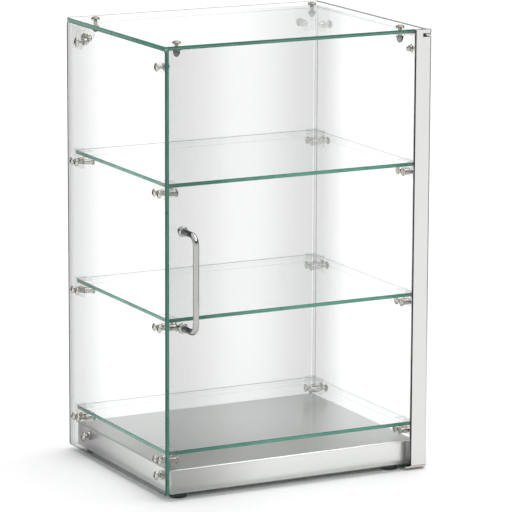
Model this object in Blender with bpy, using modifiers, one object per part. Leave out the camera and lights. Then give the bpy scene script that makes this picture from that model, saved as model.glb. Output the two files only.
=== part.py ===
"""Countertop bakery display case.

Four fixed glass panels stand on a folded stainless tray and are bolted together by clear corner
connectors. Three glass shelves hang in clear corner clips. A glass door, framed on its hinge edge
by a stainless stile, turns on a screw at the top and a pin at the bottom.

Units are metres, +Z is up, the door faces -Y and its hinge is at +X. The origin is on the floor,
under the middle of the whole case with its handle. Sizes inside the functions are measured from
the middle of the glass box, which an empty carries to its place.
"""
import math

import bmesh
import bpy
from mathutils import Matrix, Vector

mm = 0.001

# driving dimensions
WIDTH = 385.0 * mm           # outer faces of the side glass
DEPTH = 303.5 * mm           # front edges to rear face of the glass box
TOP = 600.0 * mm             # upper face of the top glass
GLASS = 5.0 * mm
GLASS_BOTTOM = 6.0 * mm
GLASS_CHAMFER = 0.5 * mm
GAP = 0.3 * mm               # between pieces that touch
SHEET = 1.2 * mm
CUT_MARGIN = 5.0 * mm        # how far a cutter stands out of what it cuts

# base tray and feet
BASE_BOTTOM = 6.0 * mm
BASE_HEIGHT = 33.0 * mm
BASE_INSET = 3.7 * mm        # tray wall to the inner face of the glass
BASE_FRONT_INSET = 2.0 * mm  # tray front behind the glass edges
BASE_FLANGE = 32.0 * mm
FOLD_RADIUS = 2.0 * mm
FOOT_RADIUS = 12.0 * mm
FOOT_TAPER = 1.5 * mm
FOOT_EDGE = 1.0 * mm
FOOT_STUD = 7.0 * mm         # above the tray's underside
FOOT_Y = (-138.0 * mm, 118.0 * mm)
FOOT_X_LEFT = -168.0 * mm
FOOT_X_RIGHT = (150.0 * mm, 168.0 * mm)

# shelves and their clips
SHELF_TOPS = {"lower": 62.8 * mm, "middle": 241.1 * mm, "upper": 419.4 * mm}
SHELF_SIDE_GAP = 2.5 * mm    # shelf end to the inner face of the side glass
SHELF_END = 142.4 * mm       # shelf front and rear edges from the middle
CLIP_LENGTH = 26.0 * mm
CLIP_REACH = 16.0 * mm
CLIP_LIP = 1.5 * mm
CLIP_JAW = 2.5 * mm
CLIP_WEB = 4.0 * mm
CLIP_DROP = 17.0 * mm
CLIP_BOLTS = (7.0 * mm, 21.0 * mm)
CLIP_BOLT_DROP = 8.5 * mm

# bolts
HEAD_RADIUS = 5.25 * mm
HEAD_HEIGHT = 3.3 * mm
SHANK_RADIUS = 2.5 * mm
HOLE_RADIUS = 3.0 * mm
SOCKET_RADIUS = 1.8 * mm
SOCKET_DEPTH = 1.6 * mm
NUT_RADIUS = 4.8 * mm
NUT_HEIGHT = 9.0 * mm
NUT_STRAIGHT = 0.55          # share of the nut's height below its dome
NUT_SHOULDER = (0.6, 0.9)    # shares of its radius and height at the dome's shoulder
SPACER_RADIUS = 6.0 * mm
BASE_NUT_HEIGHT = 5.0 * mm

# corner connectors
CONNECTOR = 3.0 * mm
CONNECTOR_FRONT_Y = -129.0 * mm
CONNECTOR_REAR_Y = 118.0 * mm
CONNECTOR_X = 165.0 * mm
CONNECTOR_Z = 571.0 * mm
CONNECTOR_STRIP = 12.0 * mm
CONNECTOR_PAD = 8.0 * mm
CONNECTOR_BORDER = 11.0 * mm
CONNECTOR_CHAMFER = 13.2 * mm
BASE_BOLT_Y = (-125.0 * mm, 103.0 * mm)
BASE_BOLT_Z = 28.0 * mm
BACK_BASE_BOLT_X = 120.0 * mm

# door
DOOR_GAP = 0.35 * mm
STILE_WIDTH = 25.1 * mm
STILE_DEPTH = 9.9 * mm
STILE_RETURN = 3.0 * mm
DOOR_BOTTOM = 7.0 * mm
DOOR_TOP = 597.6 * mm
DOOR_LEFT = -191.0 * mm
DOOR_EDGE_IN_STILE = 9.0 * mm
STRIP_THICKNESS = 1.6 * mm
SLOT_START = 10.5 * mm       # slot in the stile, from its left edge
SLOT_BOTTOM = 590.3 * mm
SLOT_TOP = 595.4 * mm
BLOCK_HEIGHT = 20.0 * mm
BLOCK_LENGTH = 9.0 * mm
STRIP_TOP_GAP = 10.0 * mm    # the strip ends below the slot

# hinge
PLATE = 2.5 * mm
TOP_PLATE_TOP = 594.7 * mm
BOTTOM_PLATE_TOP = 5.7 * mm
PIVOT_RADIUS = 1.75 * mm
PIVOT_HOLE = 2.05 * mm
PLATE_TIP = 4.6 * mm
PLATE_PAD = 9.0 * mm         # top plate's half width round its bolt
PLATE_FRONT_GAP = 0.1 * mm
PLATE_LEFT_EDGE = 7.0 * mm   # bottom plate's edges from its screws
PLATE_REAR_EDGE = 8.0 * mm
PLATE_CHAMFER = 1.0 * mm
PLATE_SCREW_HEAD = 2.2 * mm
PLATE_SCREW_TIP = 0.7        # share of the head's radius at its tip
PLATE_NUT = 4.0 * mm         # radius and height
PIVOT_SOCKET = (0.9 * mm, 2.5 * mm)   # radius and depth
PIVOT_SCREW_DROP = 0.2 * mm  # below the top glass's upper face
PIVOT_IN_BLOCK = 3.0 * mm    # from the pivot's end to the block's end
PIN_TIP_CHAMFER = (0.5 * mm, 1.0 * mm)
PIN_HEAD = (3.5 * mm, 3.2 * mm, 1.2 * mm)   # seat radius, tip radius, height
PLATE_SCREW_X = (170.0 * mm, 177.0 * mm)
PLATE_SCREW_Y = (-142.0 * mm, -126.0 * mm)

# handle
HANDLE_X = -171.0 * mm
HANDLE_Z = 295.5 * mm
HANDLE_SPAN = 128.0 * mm
HANDLE_PROJECTION = 39.5 * mm
HANDLE_RADIUS = 4.0 * mm
HANDLE_BEND = 11.0 * mm
HANDLE_HOLE_DEPTH = 12.0 * mm
HANDLE_HOLE_RADIUS = 2.3 * mm
HANDLE_SCREW_RADIUS = 2.0 * mm
HANDLE_SCREW_END_GAP = 2.0 * mm
HANDLE_SCREW_HEAD = ((0.0, 2.6 * mm), (3.0 * mm, 2.2 * mm), (4.4 * mm, 0.0))   # (radius, height)
COLLAR_RADIUS = 7.0 * mm
COLLAR_HEIGHT = 4.0 * mm
COLLAR_TAPER = 0.8 * mm

# places worked out from the dimensions above
INNER_X = WIDTH / 2 - GLASS
BACK_INNER = DEPTH / 2 - GLASS
BASE_X = INNER_X - BASE_INSET
BASE_FRONT = -DEPTH / 2 + BASE_FRONT_INSET
BASE_BACK = BACK_INNER - BASE_INSET
TOP_GLASS_BOTTOM = TOP - GLASS
STILE_RIGHT = WIDTH / 2 + GAP + HEAD_HEIGHT
STILE_LEFT = STILE_RIGHT - STILE_WIDTH
STILE_BACK = -DEPTH / 2 - DOOR_GAP
STILE_FRONT = STILE_BACK - STILE_DEPTH
PIVOT_X = STILE_RIGHT - STILE_DEPTH / 2
PIVOT_Y = STILE_BACK - STILE_DEPTH / 2
DOOR_GLASS_BACK = STILE_BACK - SHEET - GAP
DOOR_GLASS_FRONT = DOOR_GLASS_BACK - GLASS
FRONT_REACH = -DOOR_GLASS_FRONT + HANDLE_PROJECTION + HANDLE_RADIUS
REAR_REACH = DEPTH / 2 + GAP + HEAD_HEIGHT
CASE_Y = (FRONT_REACH - REAR_REACH) / 2

MATERIALS = {
    "glass": ((0.72, 0.88, 0.82, 1.0), 0.03, 0.0),
    "clear_plastic": ((0.80, 0.84, 0.82, 1.0), 0.25, 0.0),
    "brushed_steel": ((0.62, 0.62, 0.61, 1.0), 0.30, 1.0),
    "polished_steel": ((0.70, 0.69, 0.67, 1.0), 0.12, 1.0),
    "rubber": ((0.02, 0.02, 0.02, 1.0), 0.70, 0.0),
    "gasket": ((0.10, 0.11, 0.11, 1.0), 0.55, 0.0),
    "nylon": ((0.06, 0.06, 0.06, 1.0), 0.50, 0.0),
}


# ---------------------------------------------------------------- scene helpers

def clear_scene():
    for old in list(bpy.data.objects):
        bpy.data.objects.remove(old, do_unlink=True)


def make_collection(name):
    collection = bpy.data.collections.new(name)
    bpy.context.scene.collection.children.link(collection)
    return collection


def make_material(name, colour, roughness, metallic):
    material = bpy.data.materials.new(name)
    material.use_nodes = True
    shader = material.node_tree.nodes["Principled BSDF"]
    shader.inputs["Base Color"].default_value = colour
    shader.inputs["Roughness"].default_value = roughness
    shader.inputs["Metallic"].default_value = metallic
    return material


def make_empty(name, location, parent=None):
    empty = bpy.data.objects.new(name, None)
    PARTS.objects.link(empty)
    empty.parent = parent
    empty.location = location
    return empty


def evaluated_mesh(source):
    """Return a new mesh of an object with its modifiers or curve settings applied."""
    bpy.context.view_layer.update()
    graph = bpy.context.evaluated_depsgraph_get()
    return bpy.data.meshes.new_from_object(source.evaluated_get(graph))


def shade(mesh, angle=40.0):
    mesh.shade_smooth()
    mesh.set_sharp_from_angle(angle=math.radians(angle))


def add_piece(name, mesh, material, body, location=(0.0, 0.0, 0.0)):
    """Make a named piece at a place in the case's frame, carried by the case or the door."""
    piece = bpy.data.objects.new(name, mesh)
    PARTS.objects.link(piece)
    piece.parent = BODIES[body]
    piece.location = Vector(location) - BODY_PLACES[body]
    if not mesh.materials:
        mesh.materials.append(MATERIAL[material])
    return piece


def working_object(mesh):
    """Put a mesh in the cutters' collection, to cut with or to cut."""
    tool = bpy.data.objects.new("tool", mesh)
    CUTTERS.objects.link(tool)
    tool.hide_render = True
    tool.display_type = "WIRE"
    return tool


def combine(mesh, others, operation):
    """Join or cut a mesh with others, exactly, and return the result."""
    body = working_object(mesh)
    tools = [working_object(other) for other in others]
    for tool in tools:
        step = body.modifiers.new(operation.lower(), "BOOLEAN")
        step.operation = operation
        step.solver = "EXACT"
        step.object = tool
    result = evaluated_mesh(body)
    for old in tools + [body]:
        bpy.data.objects.remove(old, do_unlink=True)
    return result


def cut(mesh, others):
    return combine(mesh, others, "DIFFERENCE")


def join(mesh, others):
    return combine(mesh, others, "UNION")


# ---------------------------------------------------------------- shape helpers

def box_mesh(low, high, bevel=0.0):
    """A box between two corners, with its edges chamfered by bevel."""
    low, high = Vector(low), Vector(high)
    size = high - low
    shape = bmesh.new()
    bmesh.ops.create_cube(shape, size=1.0)
    bmesh.ops.scale(shape, vec=size, verts=shape.verts)
    bmesh.ops.translate(shape, vec=(low + high) / 2, verts=shape.verts)
    if bevel:
        bmesh.ops.bevel(shape, geom=shape.edges[:], offset=bevel, segments=1, affect="EDGES")
    mesh = bpy.data.meshes.new("box")
    shape.to_mesh(mesh)
    shape.free()
    return mesh


def turn_to(axis):
    """The rotation that takes +Z to a direction."""
    return Vector((0.0, 0.0, 1.0)).rotation_difference(Vector(axis)).to_matrix().to_4x4()


def rod_mesh(start, axis, length, radius, segments=16):
    """A round rod from a point along a direction."""
    shape = bmesh.new()
    bmesh.ops.create_cone(shape, cap_ends=True, segments=segments,
                          radius1=radius, radius2=radius, depth=length)
    middle = Vector(start) + Vector(axis).normalized() * length / 2
    bmesh.ops.transform(shape, matrix=Matrix.Translation(middle) @ turn_to(axis), verts=shape.verts)
    mesh = bpy.data.meshes.new("rod")
    shape.to_mesh(mesh)
    shape.free()
    return mesh


def turned_mesh(profile, steps=16, closed=False):
    """Turn a profile of (radius, height) points about Z. It runs down its outer side."""
    outline = bpy.data.meshes.new("profile")
    count = len(profile)
    edges = [(i, i + 1) for i in range(count - 1)]
    if closed:
        edges.append((count - 1, 0))
    outline.from_pydata([(radius, 0.0, height) for radius, height in profile], edges, [])
    source = working_object(outline)
    screw = source.modifiers.new("turn", "SCREW")
    screw.axis = "Z"
    screw.steps = steps
    screw.render_steps = steps
    screw.use_merge_vertices = True
    screw.merge_threshold = 0.00001
    mesh = evaluated_mesh(source)
    bpy.data.objects.remove(source, do_unlink=True)
    shade(mesh)
    return mesh


def extruded_mesh(outline, low, high):
    """Extrude a flat outline of (x, y) points from one height to another."""
    curve = bpy.data.curves.new("outline", "CURVE")
    curve.dimensions = "2D"
    curve.fill_mode = "BOTH"
    curve.extrude = (high - low) / 2
    spline = curve.splines.new("POLY")
    spline.points.add(len(outline) - 1)
    for point, (x, y) in zip(spline.points, outline):
        point.co = (x, y, 0.0, 1.0)
    spline.use_cyclic_u = True
    source = bpy.data.objects.new("outline", curve)
    CUTTERS.objects.link(source)
    mesh = evaluated_mesh(source)
    bpy.data.objects.remove(source, do_unlink=True)
    shape = bmesh.new()
    shape.from_mesh(mesh)
    bmesh.ops.remove_doubles(shape, verts=shape.verts, dist=0.000001)
    bmesh.ops.translate(shape, vec=(0.0, 0.0, (low + high) / 2), verts=shape.verts)
    bmesh.ops.recalc_face_normals(shape, faces=shape.faces)
    shape.to_mesh(mesh)
    shape.free()
    return mesh


def moved(mesh, matrix):
    mesh.transform(matrix)
    return mesh


def arc(centre, radius, start, end, steps):
    """Points on an arc between two angles in degrees."""
    turns = [math.radians(start + (end - start) * i / steps) for i in range(steps + 1)]
    return [(centre[0] + radius * math.cos(t), centre[1] + radius * math.sin(t)) for t in turns]


# ---------------------------------------------------------------- base

def make_base_tray():
    """Fold the tray: a top, four walls and an inward flange, all of one sheet."""
    shape = bmesh.new()
    bmesh.ops.create_cube(shape, size=1.0)
    size = (2 * BASE_X, BASE_BACK - BASE_FRONT, BASE_HEIGHT)
    bmesh.ops.scale(shape, vec=size, verts=shape.verts)
    middle = (0.0, (BASE_FRONT + BASE_BACK) / 2, BASE_BOTTOM + BASE_HEIGHT / 2)
    bmesh.ops.translate(shape, vec=middle, verts=shape.verts)
    floor = min(shape.faces, key=lambda face: face.calc_center_median().z)
    bmesh.ops.inset_region(shape, faces=[floor], thickness=BASE_FLANGE)
    bmesh.ops.delete(shape, geom=[floor], context="FACES")
    mesh = bpy.data.meshes.new("tray")
    shape.to_mesh(mesh)
    shape.free()
    sheet = working_object(mesh)
    fold = sheet.modifiers.new("folds", "BEVEL")
    fold.width = FOLD_RADIUS
    fold.segments = 2
    fold.limit_method = "ANGLE"
    thick = sheet.modifiers.new("sheet", "SOLIDIFY")
    thick.thickness = SHEET
    thick.offset = -1.0
    tray = evaluated_mesh(sheet)
    bpy.data.objects.remove(sheet, do_unlink=True)
    holes = []
    for x, y in foot_places():
        holes.append(rod_mesh((x, y, BASE_BOTTOM - SHEET), (0, 0, 1), 4 * SHEET, HOLE_RADIUS, 12))
    for x, y in zip(PLATE_SCREW_X, PLATE_SCREW_Y):
        holes.append(rod_mesh((x, y, BASE_BOTTOM - SHEET), (0, 0, 1), 4 * SHEET, HOLE_RADIUS, 12))
    for side in (-1, 1):
        for y in BASE_BOLT_Y:
            start = (side * (BASE_X - 3 * SHEET), y, BASE_BOLT_Z)
            holes.append(rod_mesh(start, (side, 0, 0), 6 * SHEET, HOLE_RADIUS, 12))
        start = (side * BACK_BASE_BOLT_X, BASE_BACK - 3 * SHEET, BASE_BOLT_Z)
        holes.append(rod_mesh(start, (0, 1, 0), 6 * SHEET, HOLE_RADIUS, 12))
    tray = cut(tray, holes)
    shade(tray)
    add_piece("base_tray", tray, "brushed_steel", "case")


def foot_places():
    front, rear = FOOT_Y
    return [(FOOT_X_LEFT, front), (FOOT_X_LEFT, rear), (FOOT_X_RIGHT[0], front), (FOOT_X_RIGHT[1], rear)]


def make_feet():
    """Rubber feet, each with a stud that goes up through the tray's flange."""
    top = BASE_BOTTOM - GAP
    stud = BASE_BOTTOM + FOOT_STUD
    profile = [
        (0.0, stud), (SHANK_RADIUS, stud), (SHANK_RADIUS, top), (FOOT_RADIUS - FOOT_TAPER, top),
        (FOOT_RADIUS, FOOT_EDGE), (FOOT_RADIUS - FOOT_EDGE, 0.0), (0.0, 0.0),
    ]
    mesh = turned_mesh(profile, 16)
    names = ("foot_front_left", "foot_rear_left", "foot_front_right", "foot_rear_right")
    for name, (x, y) in zip(names, foot_places()):
        add_piece(name, mesh, "rubber", "case", (x, y, 0.0))


# ---------------------------------------------------------------- glass

def side_glass_holes():
    """Places (y, z) of every bolt through a side glass."""
    holes = [(CONNECTOR_FRONT_Y, CONNECTOR_Z), (CONNECTOR_REAR_Y, CONNECTOR_Z)]
    holes += [(y, BASE_BOLT_Z) for y in BASE_BOLT_Y]
    for top in SHELF_TOPS.values():
        for end in (-1, 1):
            for along in CLIP_BOLTS:
                holes.append((end * (SHELF_END - along), top - GLASS - CLIP_BOLT_DROP))
    return holes


def make_side_glass():
    for side, name in ((-1, "left_glass"), (1, "right_glass")):
        outer, inner = side * WIDTH / 2, side * INNER_X
        low = (min(outer, inner), -DEPTH / 2, GLASS_BOTTOM)
        high = (max(outer, inner), DEPTH / 2, TOP_GLASS_BOTTOM - GAP)
        panel = box_mesh(low, high, GLASS_CHAMFER)
        start = side * (INNER_X - GLASS)
        holes = [rod_mesh((start, y, z), (side, 0, 0), 3 * GLASS, HOLE_RADIUS, 12)
                 for y, z in side_glass_holes()]
        add_piece(name, cut(panel, holes), "glass", "case")


def make_back_glass():
    low = (-INNER_X + GAP, BACK_INNER, GLASS_BOTTOM)
    high = (INNER_X - GAP, DEPTH / 2, TOP_GLASS_BOTTOM - GAP)
    panel = box_mesh(low, high, GLASS_CHAMFER)
    places = [(side * CONNECTOR_X, CONNECTOR_Z) for side in (-1, 1)]
    places += [(side * BACK_BASE_BOLT_X, BASE_BOLT_Z) for side in (-1, 1)]
    holes = [rod_mesh((x, BACK_INNER - GLASS, z), (0, 1, 0), 3 * GLASS, HOLE_RADIUS, 12)
             for x, z in places]
    add_piece("back_glass", cut(panel, holes), "glass", "case")


def make_top_glass():
    panel = box_mesh((-WIDTH / 2, -DEPTH / 2, TOP_GLASS_BOTTOM), (WIDTH / 2, DEPTH / 2, TOP), GLASS_CHAMFER)
    holes = [rod_mesh((side * CONNECTOR_X, y, TOP_GLASS_BOTTOM - GLASS), (0, 0, 1), 3 * GLASS,
                      HOLE_RADIUS, 12)
             for side in (-1, 1) for y in (CONNECTOR_FRONT_Y, CONNECTOR_REAR_Y)]
    add_piece("top_glass", cut(panel, holes), "glass", "case")


def make_shelves():
    reach = INNER_X - SHELF_SIDE_GAP
    for level, top in SHELF_TOPS.items():
        panel = box_mesh((-reach, -SHELF_END, top - GLASS), (reach, SHELF_END, top), GLASS_CHAMFER)
        add_piece("shelf_" + level, panel, "glass", "case")


# ---------------------------------------------------------------- shelf clips

def clip_mesh(side, end):
    """A corner clip: a pocket for the shelf's corner over a web that is bolted to the side glass.

    It is made for a shelf whose underside is at height 0. side is -1 left and 1 right, end is
    -1 front and 1 rear.
    """
    face = INNER_X - GAP
    shelf_end = SHELF_END + GAP

    def block(reach_from, reach_to, along_from, along_to, low, high):
        xs = sorted((side * (face - reach_from), side * (face - reach_to)))
        ys = sorted((end * (shelf_end - along_from), end * (shelf_end - along_to)))
        return box_mesh((xs[0], ys[0], low), (xs[1], ys[1], high))

    ceiling = GLASS + GAP + CLIP_LIP
    wall = SHELF_SIDE_GAP - 2 * GAP
    clip = block(0.0, CLIP_REACH, -CLIP_LIP, CLIP_LENGTH, -GAP - CLIP_JAW, ceiling)
    web = block(0.0, CLIP_WEB, 0.0, CLIP_LENGTH, -CLIP_DROP, -GAP)
    pocket = block(wall, 2 * CLIP_REACH, 0.0, 2 * CLIP_LENGTH, -GAP, GLASS + GAP)
    holes = []
    for along in CLIP_BOLTS:
        start = (side * (INNER_X + GLASS), end * (SHELF_END - along), -CLIP_BOLT_DROP)
        holes.append(rod_mesh(start, (-side, 0, 0), 4 * GLASS, HOLE_RADIUS, 12))
    return cut(join(clip, [web]), [pocket] + holes)


def make_shelf_clips():
    for side, side_name in ((-1, "left"), (1, "right")):
        for end, end_name in ((-1, "front"), (1, "rear")):
            mesh = clip_mesh(side, end)
            for level, top in SHELF_TOPS.items():
                name = f"clip_{level}_{end_name}_{side_name}"
                add_piece(name, mesh, "clear_plastic", "case", (0.0, 0.0, top - GLASS))


# ---------------------------------------------------------------- corner connectors

def strip_connector(side, drop):
    """A two-way connector: a clear strip bent down from the top glass to the side glass."""
    top = TOP_GLASS_BOTTOM - GAP - drop
    face = INNER_X - GAP
    y = CONNECTOR_FRONT_Y
    half = CONNECTOR_STRIP / 2

    def block(x_from, x_to, low, high):
        xs = sorted((side * x_from, side * x_to))
        return box_mesh((xs[0], y - half, low), (xs[1], y + half, high))

    leg = block(face - CONNECTOR, face, CONNECTOR_Z, top)
    arm = block(CONNECTOR_X, face, top - CONNECTOR, top)
    side_pad = rod_mesh((side * face, y, CONNECTOR_Z), (-side, 0, 0), CONNECTOR, CONNECTOR_PAD, 20)
    top_pad = rod_mesh((side * CONNECTOR_X, y, top - CONNECTOR), (0, 0, 1), CONNECTOR,
                       CONNECTOR_PAD, 20)
    holes = [
        rod_mesh((side * (face + GLASS), y, CONNECTOR_Z), (-side, 0, 0), 4 * GLASS, HOLE_RADIUS, 12),
        rod_mesh((side * CONNECTOR_X, y, top - 2 * CONNECTOR), (0, 0, 1), 3 * CONNECTOR,
                 HOLE_RADIUS, 12),
    ]
    return cut(join(leg, [arm, side_pad, top_pad]), holes)


def corner_outline(reach_a, reach_b):
    """A plate's outline from the corner (0, 0), with its far corner cut off."""
    return [(0.0, 0.0), (reach_a, 0.0), (reach_a, reach_b - CONNECTOR_CHAMFER),
            (reach_a - CONNECTOR_CHAMFER, reach_b), (0.0, reach_b)]


def corner_connector(side):
    """A three-way connector: three clear plates that meet in the rear top corner."""
    top = TOP_GLASS_BOTTOM - GAP
    face_x, face_y = INNER_X - GAP, BACK_INNER - GAP
    reach_x = face_x - CONNECTOR_X + CONNECTOR_BORDER
    reach_y = face_y - CONNECTOR_REAR_Y + CONNECTOR_BORDER
    reach_z = top - CONNECTOR_Z + CONNECTOR_BORDER
    corner = Matrix.Translation((side * face_x, face_y, top))

    def plate(reach_a, reach_b, axis_a, axis_b, axis_n):
        mesh = extruded_mesh(corner_outline(reach_a, reach_b), 0.0, CONNECTOR)
        frame = Matrix((axis_a, axis_b, axis_n)).transposed().to_4x4()
        shape = bmesh.new()
        shape.from_mesh(moved(mesh, corner @ frame))
        bmesh.ops.recalc_face_normals(shape, faces=shape.faces)
        shape.to_mesh(mesh)
        shape.free()
        return mesh

    inward_x, inward_y, down = (-side, 0, 0), (0, -1, 0), (0, 0, -1)
    top_plate = plate(reach_x, reach_y, inward_x, inward_y, down)
    side_plate = plate(reach_y, reach_z, inward_y, down, inward_x)
    back_plate = plate(reach_x, reach_z, inward_x, down, inward_y)
    holes = [
        rod_mesh((side * (face_x + GLASS), CONNECTOR_REAR_Y, CONNECTOR_Z), (-side, 0, 0),
                 4 * GLASS, HOLE_RADIUS, 12),
        rod_mesh((side * CONNECTOR_X, face_y + GLASS, CONNECTOR_Z), (0, -1, 0),
                 4 * GLASS, HOLE_RADIUS, 12),
        rod_mesh((side * CONNECTOR_X, CONNECTOR_REAR_Y, top + GLASS), (0, 0, -1),
                 4 * GLASS, HOLE_RADIUS, 12),
    ]
    return cut(join(top_plate, [side_plate, back_plate]), holes)


def make_connectors():
    add_piece("connector_front_left", strip_connector(-1, 0.0), "clear_plastic", "case")
    below_plate = PLATE + GAP
    add_piece("connector_front_right", strip_connector(1, below_plate), "clear_plastic", "case")
    for side, name in ((-1, "connector_rear_left"), (1, "connector_rear_right")):
        add_piece(name, corner_connector(side), "clear_plastic", "case")


# ---------------------------------------------------------------- bolts

def bolt_mesh(grip, nut_height=NUT_HEIGHT, spacer=None):
    """A button-head bolt with its dome nut, joined.

    The head's seat is at height 0 and the shank goes down. The nut starts at depth grip, and a
    spacer is a (from depth, to depth) washer round the shank.
    """
    dome = [(HEAD_RADIUS * math.cos(math.radians(a)), HEAD_HEIGHT * math.sin(math.radians(a)))
            for a in (60, 35, 0)]
    profile = [(0.0, HEAD_HEIGHT - SOCKET_DEPTH), (SOCKET_RADIUS, HEAD_HEIGHT - SOCKET_DEPTH),
               (SOCKET_RADIUS, HEAD_HEIGHT)]
    profile += dome
    profile.append((SHANK_RADIUS, 0.0))
    if spacer:
        start, end = spacer
        profile += [(SHANK_RADIUS, -start), (SPACER_RADIUS, -start), (SPACER_RADIUS, -end),
                    (SHANK_RADIUS, -end)]
    shoulder_radius, shoulder_height = NUT_SHOULDER
    profile += [(SHANK_RADIUS, -grip), (NUT_RADIUS, -grip),
                (NUT_RADIUS, -grip - NUT_STRAIGHT * nut_height),
                (shoulder_radius * NUT_RADIUS, -grip - shoulder_height * nut_height),
                (0.0, -grip - nut_height)]
    return turned_mesh(profile, 12)


def add_bolt(name, mesh, seat, outward):
    """Set a bolt with its head's seat at a point, pointing outward."""
    placed = moved(mesh.copy(), turn_to(outward))
    add_piece(name, placed, "polished_steel", "case", seat)


def make_bolts():
    through = GLASS + CONNECTOR + 3 * GAP
    plain = bolt_mesh(through)
    over_plate = bolt_mesh(through + PLATE + GAP)
    top = TOP + GAP
    add_bolt("top_bolt_front_left", plain, (-CONNECTOR_X, CONNECTOR_FRONT_Y, top), (0, 0, 1))
    add_bolt("top_bolt_front_right", over_plate, (CONNECTOR_X, CONNECTOR_FRONT_Y, top), (0, 0, 1))
    add_bolt("top_bolt_rear_left", plain, (-CONNECTOR_X, CONNECTOR_REAR_Y, top), (0, 0, 1))
    add_bolt("top_bolt_rear_right", plain, (CONNECTOR_X, CONNECTOR_REAR_Y, top), (0, 0, 1))
    wall_grip = GLASS + GAP + BASE_INSET + SHEET + GAP
    base = bolt_mesh(wall_grip, BASE_NUT_HEIGHT, (GLASS + 2 * GAP, GLASS + BASE_INSET))
    for side, name in ((-1, "left"), (1, "right")):
        seat_x = side * (WIDTH / 2 + GAP)
        outward = (side, 0, 0)
        add_bolt("side_bolt_front_" + name, plain, (seat_x, CONNECTOR_FRONT_Y, CONNECTOR_Z), outward)
        add_bolt("side_bolt_rear_" + name, plain, (seat_x, CONNECTOR_REAR_Y, CONNECTOR_Z), outward)
        back_seat = (side * CONNECTOR_X, DEPTH / 2 + GAP, CONNECTOR_Z)
        add_bolt("back_bolt_" + name, plain, back_seat, (0, 1, 0))
        for y, end_name in zip(BASE_BOLT_Y, ("front", "rear")):
            add_bolt(f"base_bolt_{end_name}_{name}", base, (seat_x, y, BASE_BOLT_Z), outward)


# ---------------------------------------------------------------- hinge plates and pivots

def make_top_hinge_plate():
    """A flat plate under the top glass, cranked out past the corner to the pivot."""
    wall = INNER_X - 2 * GAP
    front = STILE_BACK - PLATE_FRONT_GAP
    outline = [
        (CONNECTOR_X - PLATE_PAD, CONNECTOR_FRONT_Y - PLATE_PAD), (PIVOT_X - PLATE_PAD, front),
    ]
    outline += arc((PIVOT_X, PIVOT_Y), PLATE_TIP, 195.0, 460.0, 14)
    outline += [
        (wall, -DEPTH / 2), (wall, CONNECTOR_FRONT_Y + PLATE_PAD),
        (CONNECTOR_X - PLATE_PAD, CONNECTOR_FRONT_Y + PLATE_PAD),
    ]
    bottom = TOP_PLATE_TOP - PLATE
    plate = extruded_mesh(outline, bottom, TOP_PLATE_TOP)
    holes = [
        rod_mesh((PIVOT_X, PIVOT_Y, bottom - PLATE), (0, 0, 1), 3 * PLATE, PIVOT_HOLE, 16),
        rod_mesh((CONNECTOR_X, CONNECTOR_FRONT_Y, bottom - PLATE), (0, 0, 1), 3 * PLATE,
                 HOLE_RADIUS, 12),
    ]
    add_piece("hinge_plate_top", cut(plate, holes), "polished_steel", "case")


def make_bottom_hinge_plate():
    """A flat plate under the tray and the stile, with the pivot pin near its front corner."""
    left, rear = PLATE_SCREW_X[0] - PLATE_LEFT_EDGE, PLATE_SCREW_Y[1] + PLATE_REAR_EDGE
    outline = [(left, rear), (left, STILE_FRONT + PLATE_CHAMFER), (left + PLATE_CHAMFER, STILE_FRONT)]
    outline += arc((PIVOT_X, PIVOT_Y), STILE_DEPTH / 2, 270.0, 360.0, 6)
    outline.append((STILE_RIGHT, rear))
    bottom = BOTTOM_PLATE_TOP - PLATE
    plate = extruded_mesh(outline, bottom, BOTTOM_PLATE_TOP)
    holes = [rod_mesh((PIVOT_X, PIVOT_Y, bottom - PLATE), (0, 0, 1), 3 * PLATE, PIVOT_HOLE, 16)]
    for x, y in zip(PLATE_SCREW_X, PLATE_SCREW_Y):
        holes.append(rod_mesh((x, y, bottom - PLATE), (0, 0, 1), 3 * PLATE, HOLE_RADIUS, 12))
    add_piece("hinge_plate_bottom", cut(plate, holes), "polished_steel", "case")
    seat = bottom - GAP
    tip = seat - PLATE_SCREW_HEAD
    nut = BASE_BOTTOM + SHEET + GAP
    profile = [
        (0.0, nut + PLATE_NUT), (PLATE_NUT, nut + PLATE_NUT), (PLATE_NUT, nut), (SHANK_RADIUS, nut),
        (SHANK_RADIUS, seat), (HEAD_RADIUS, seat), (PLATE_SCREW_TIP * HEAD_RADIUS, tip), (0.0, tip),
    ]
    mesh = turned_mesh(profile, 12)
    for number, (x, y) in enumerate(zip(PLATE_SCREW_X, PLATE_SCREW_Y), 1):
        add_piece(f"hinge_plate_screw_{number}", mesh, "polished_steel", "case", (x, y, 0.0))


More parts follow.
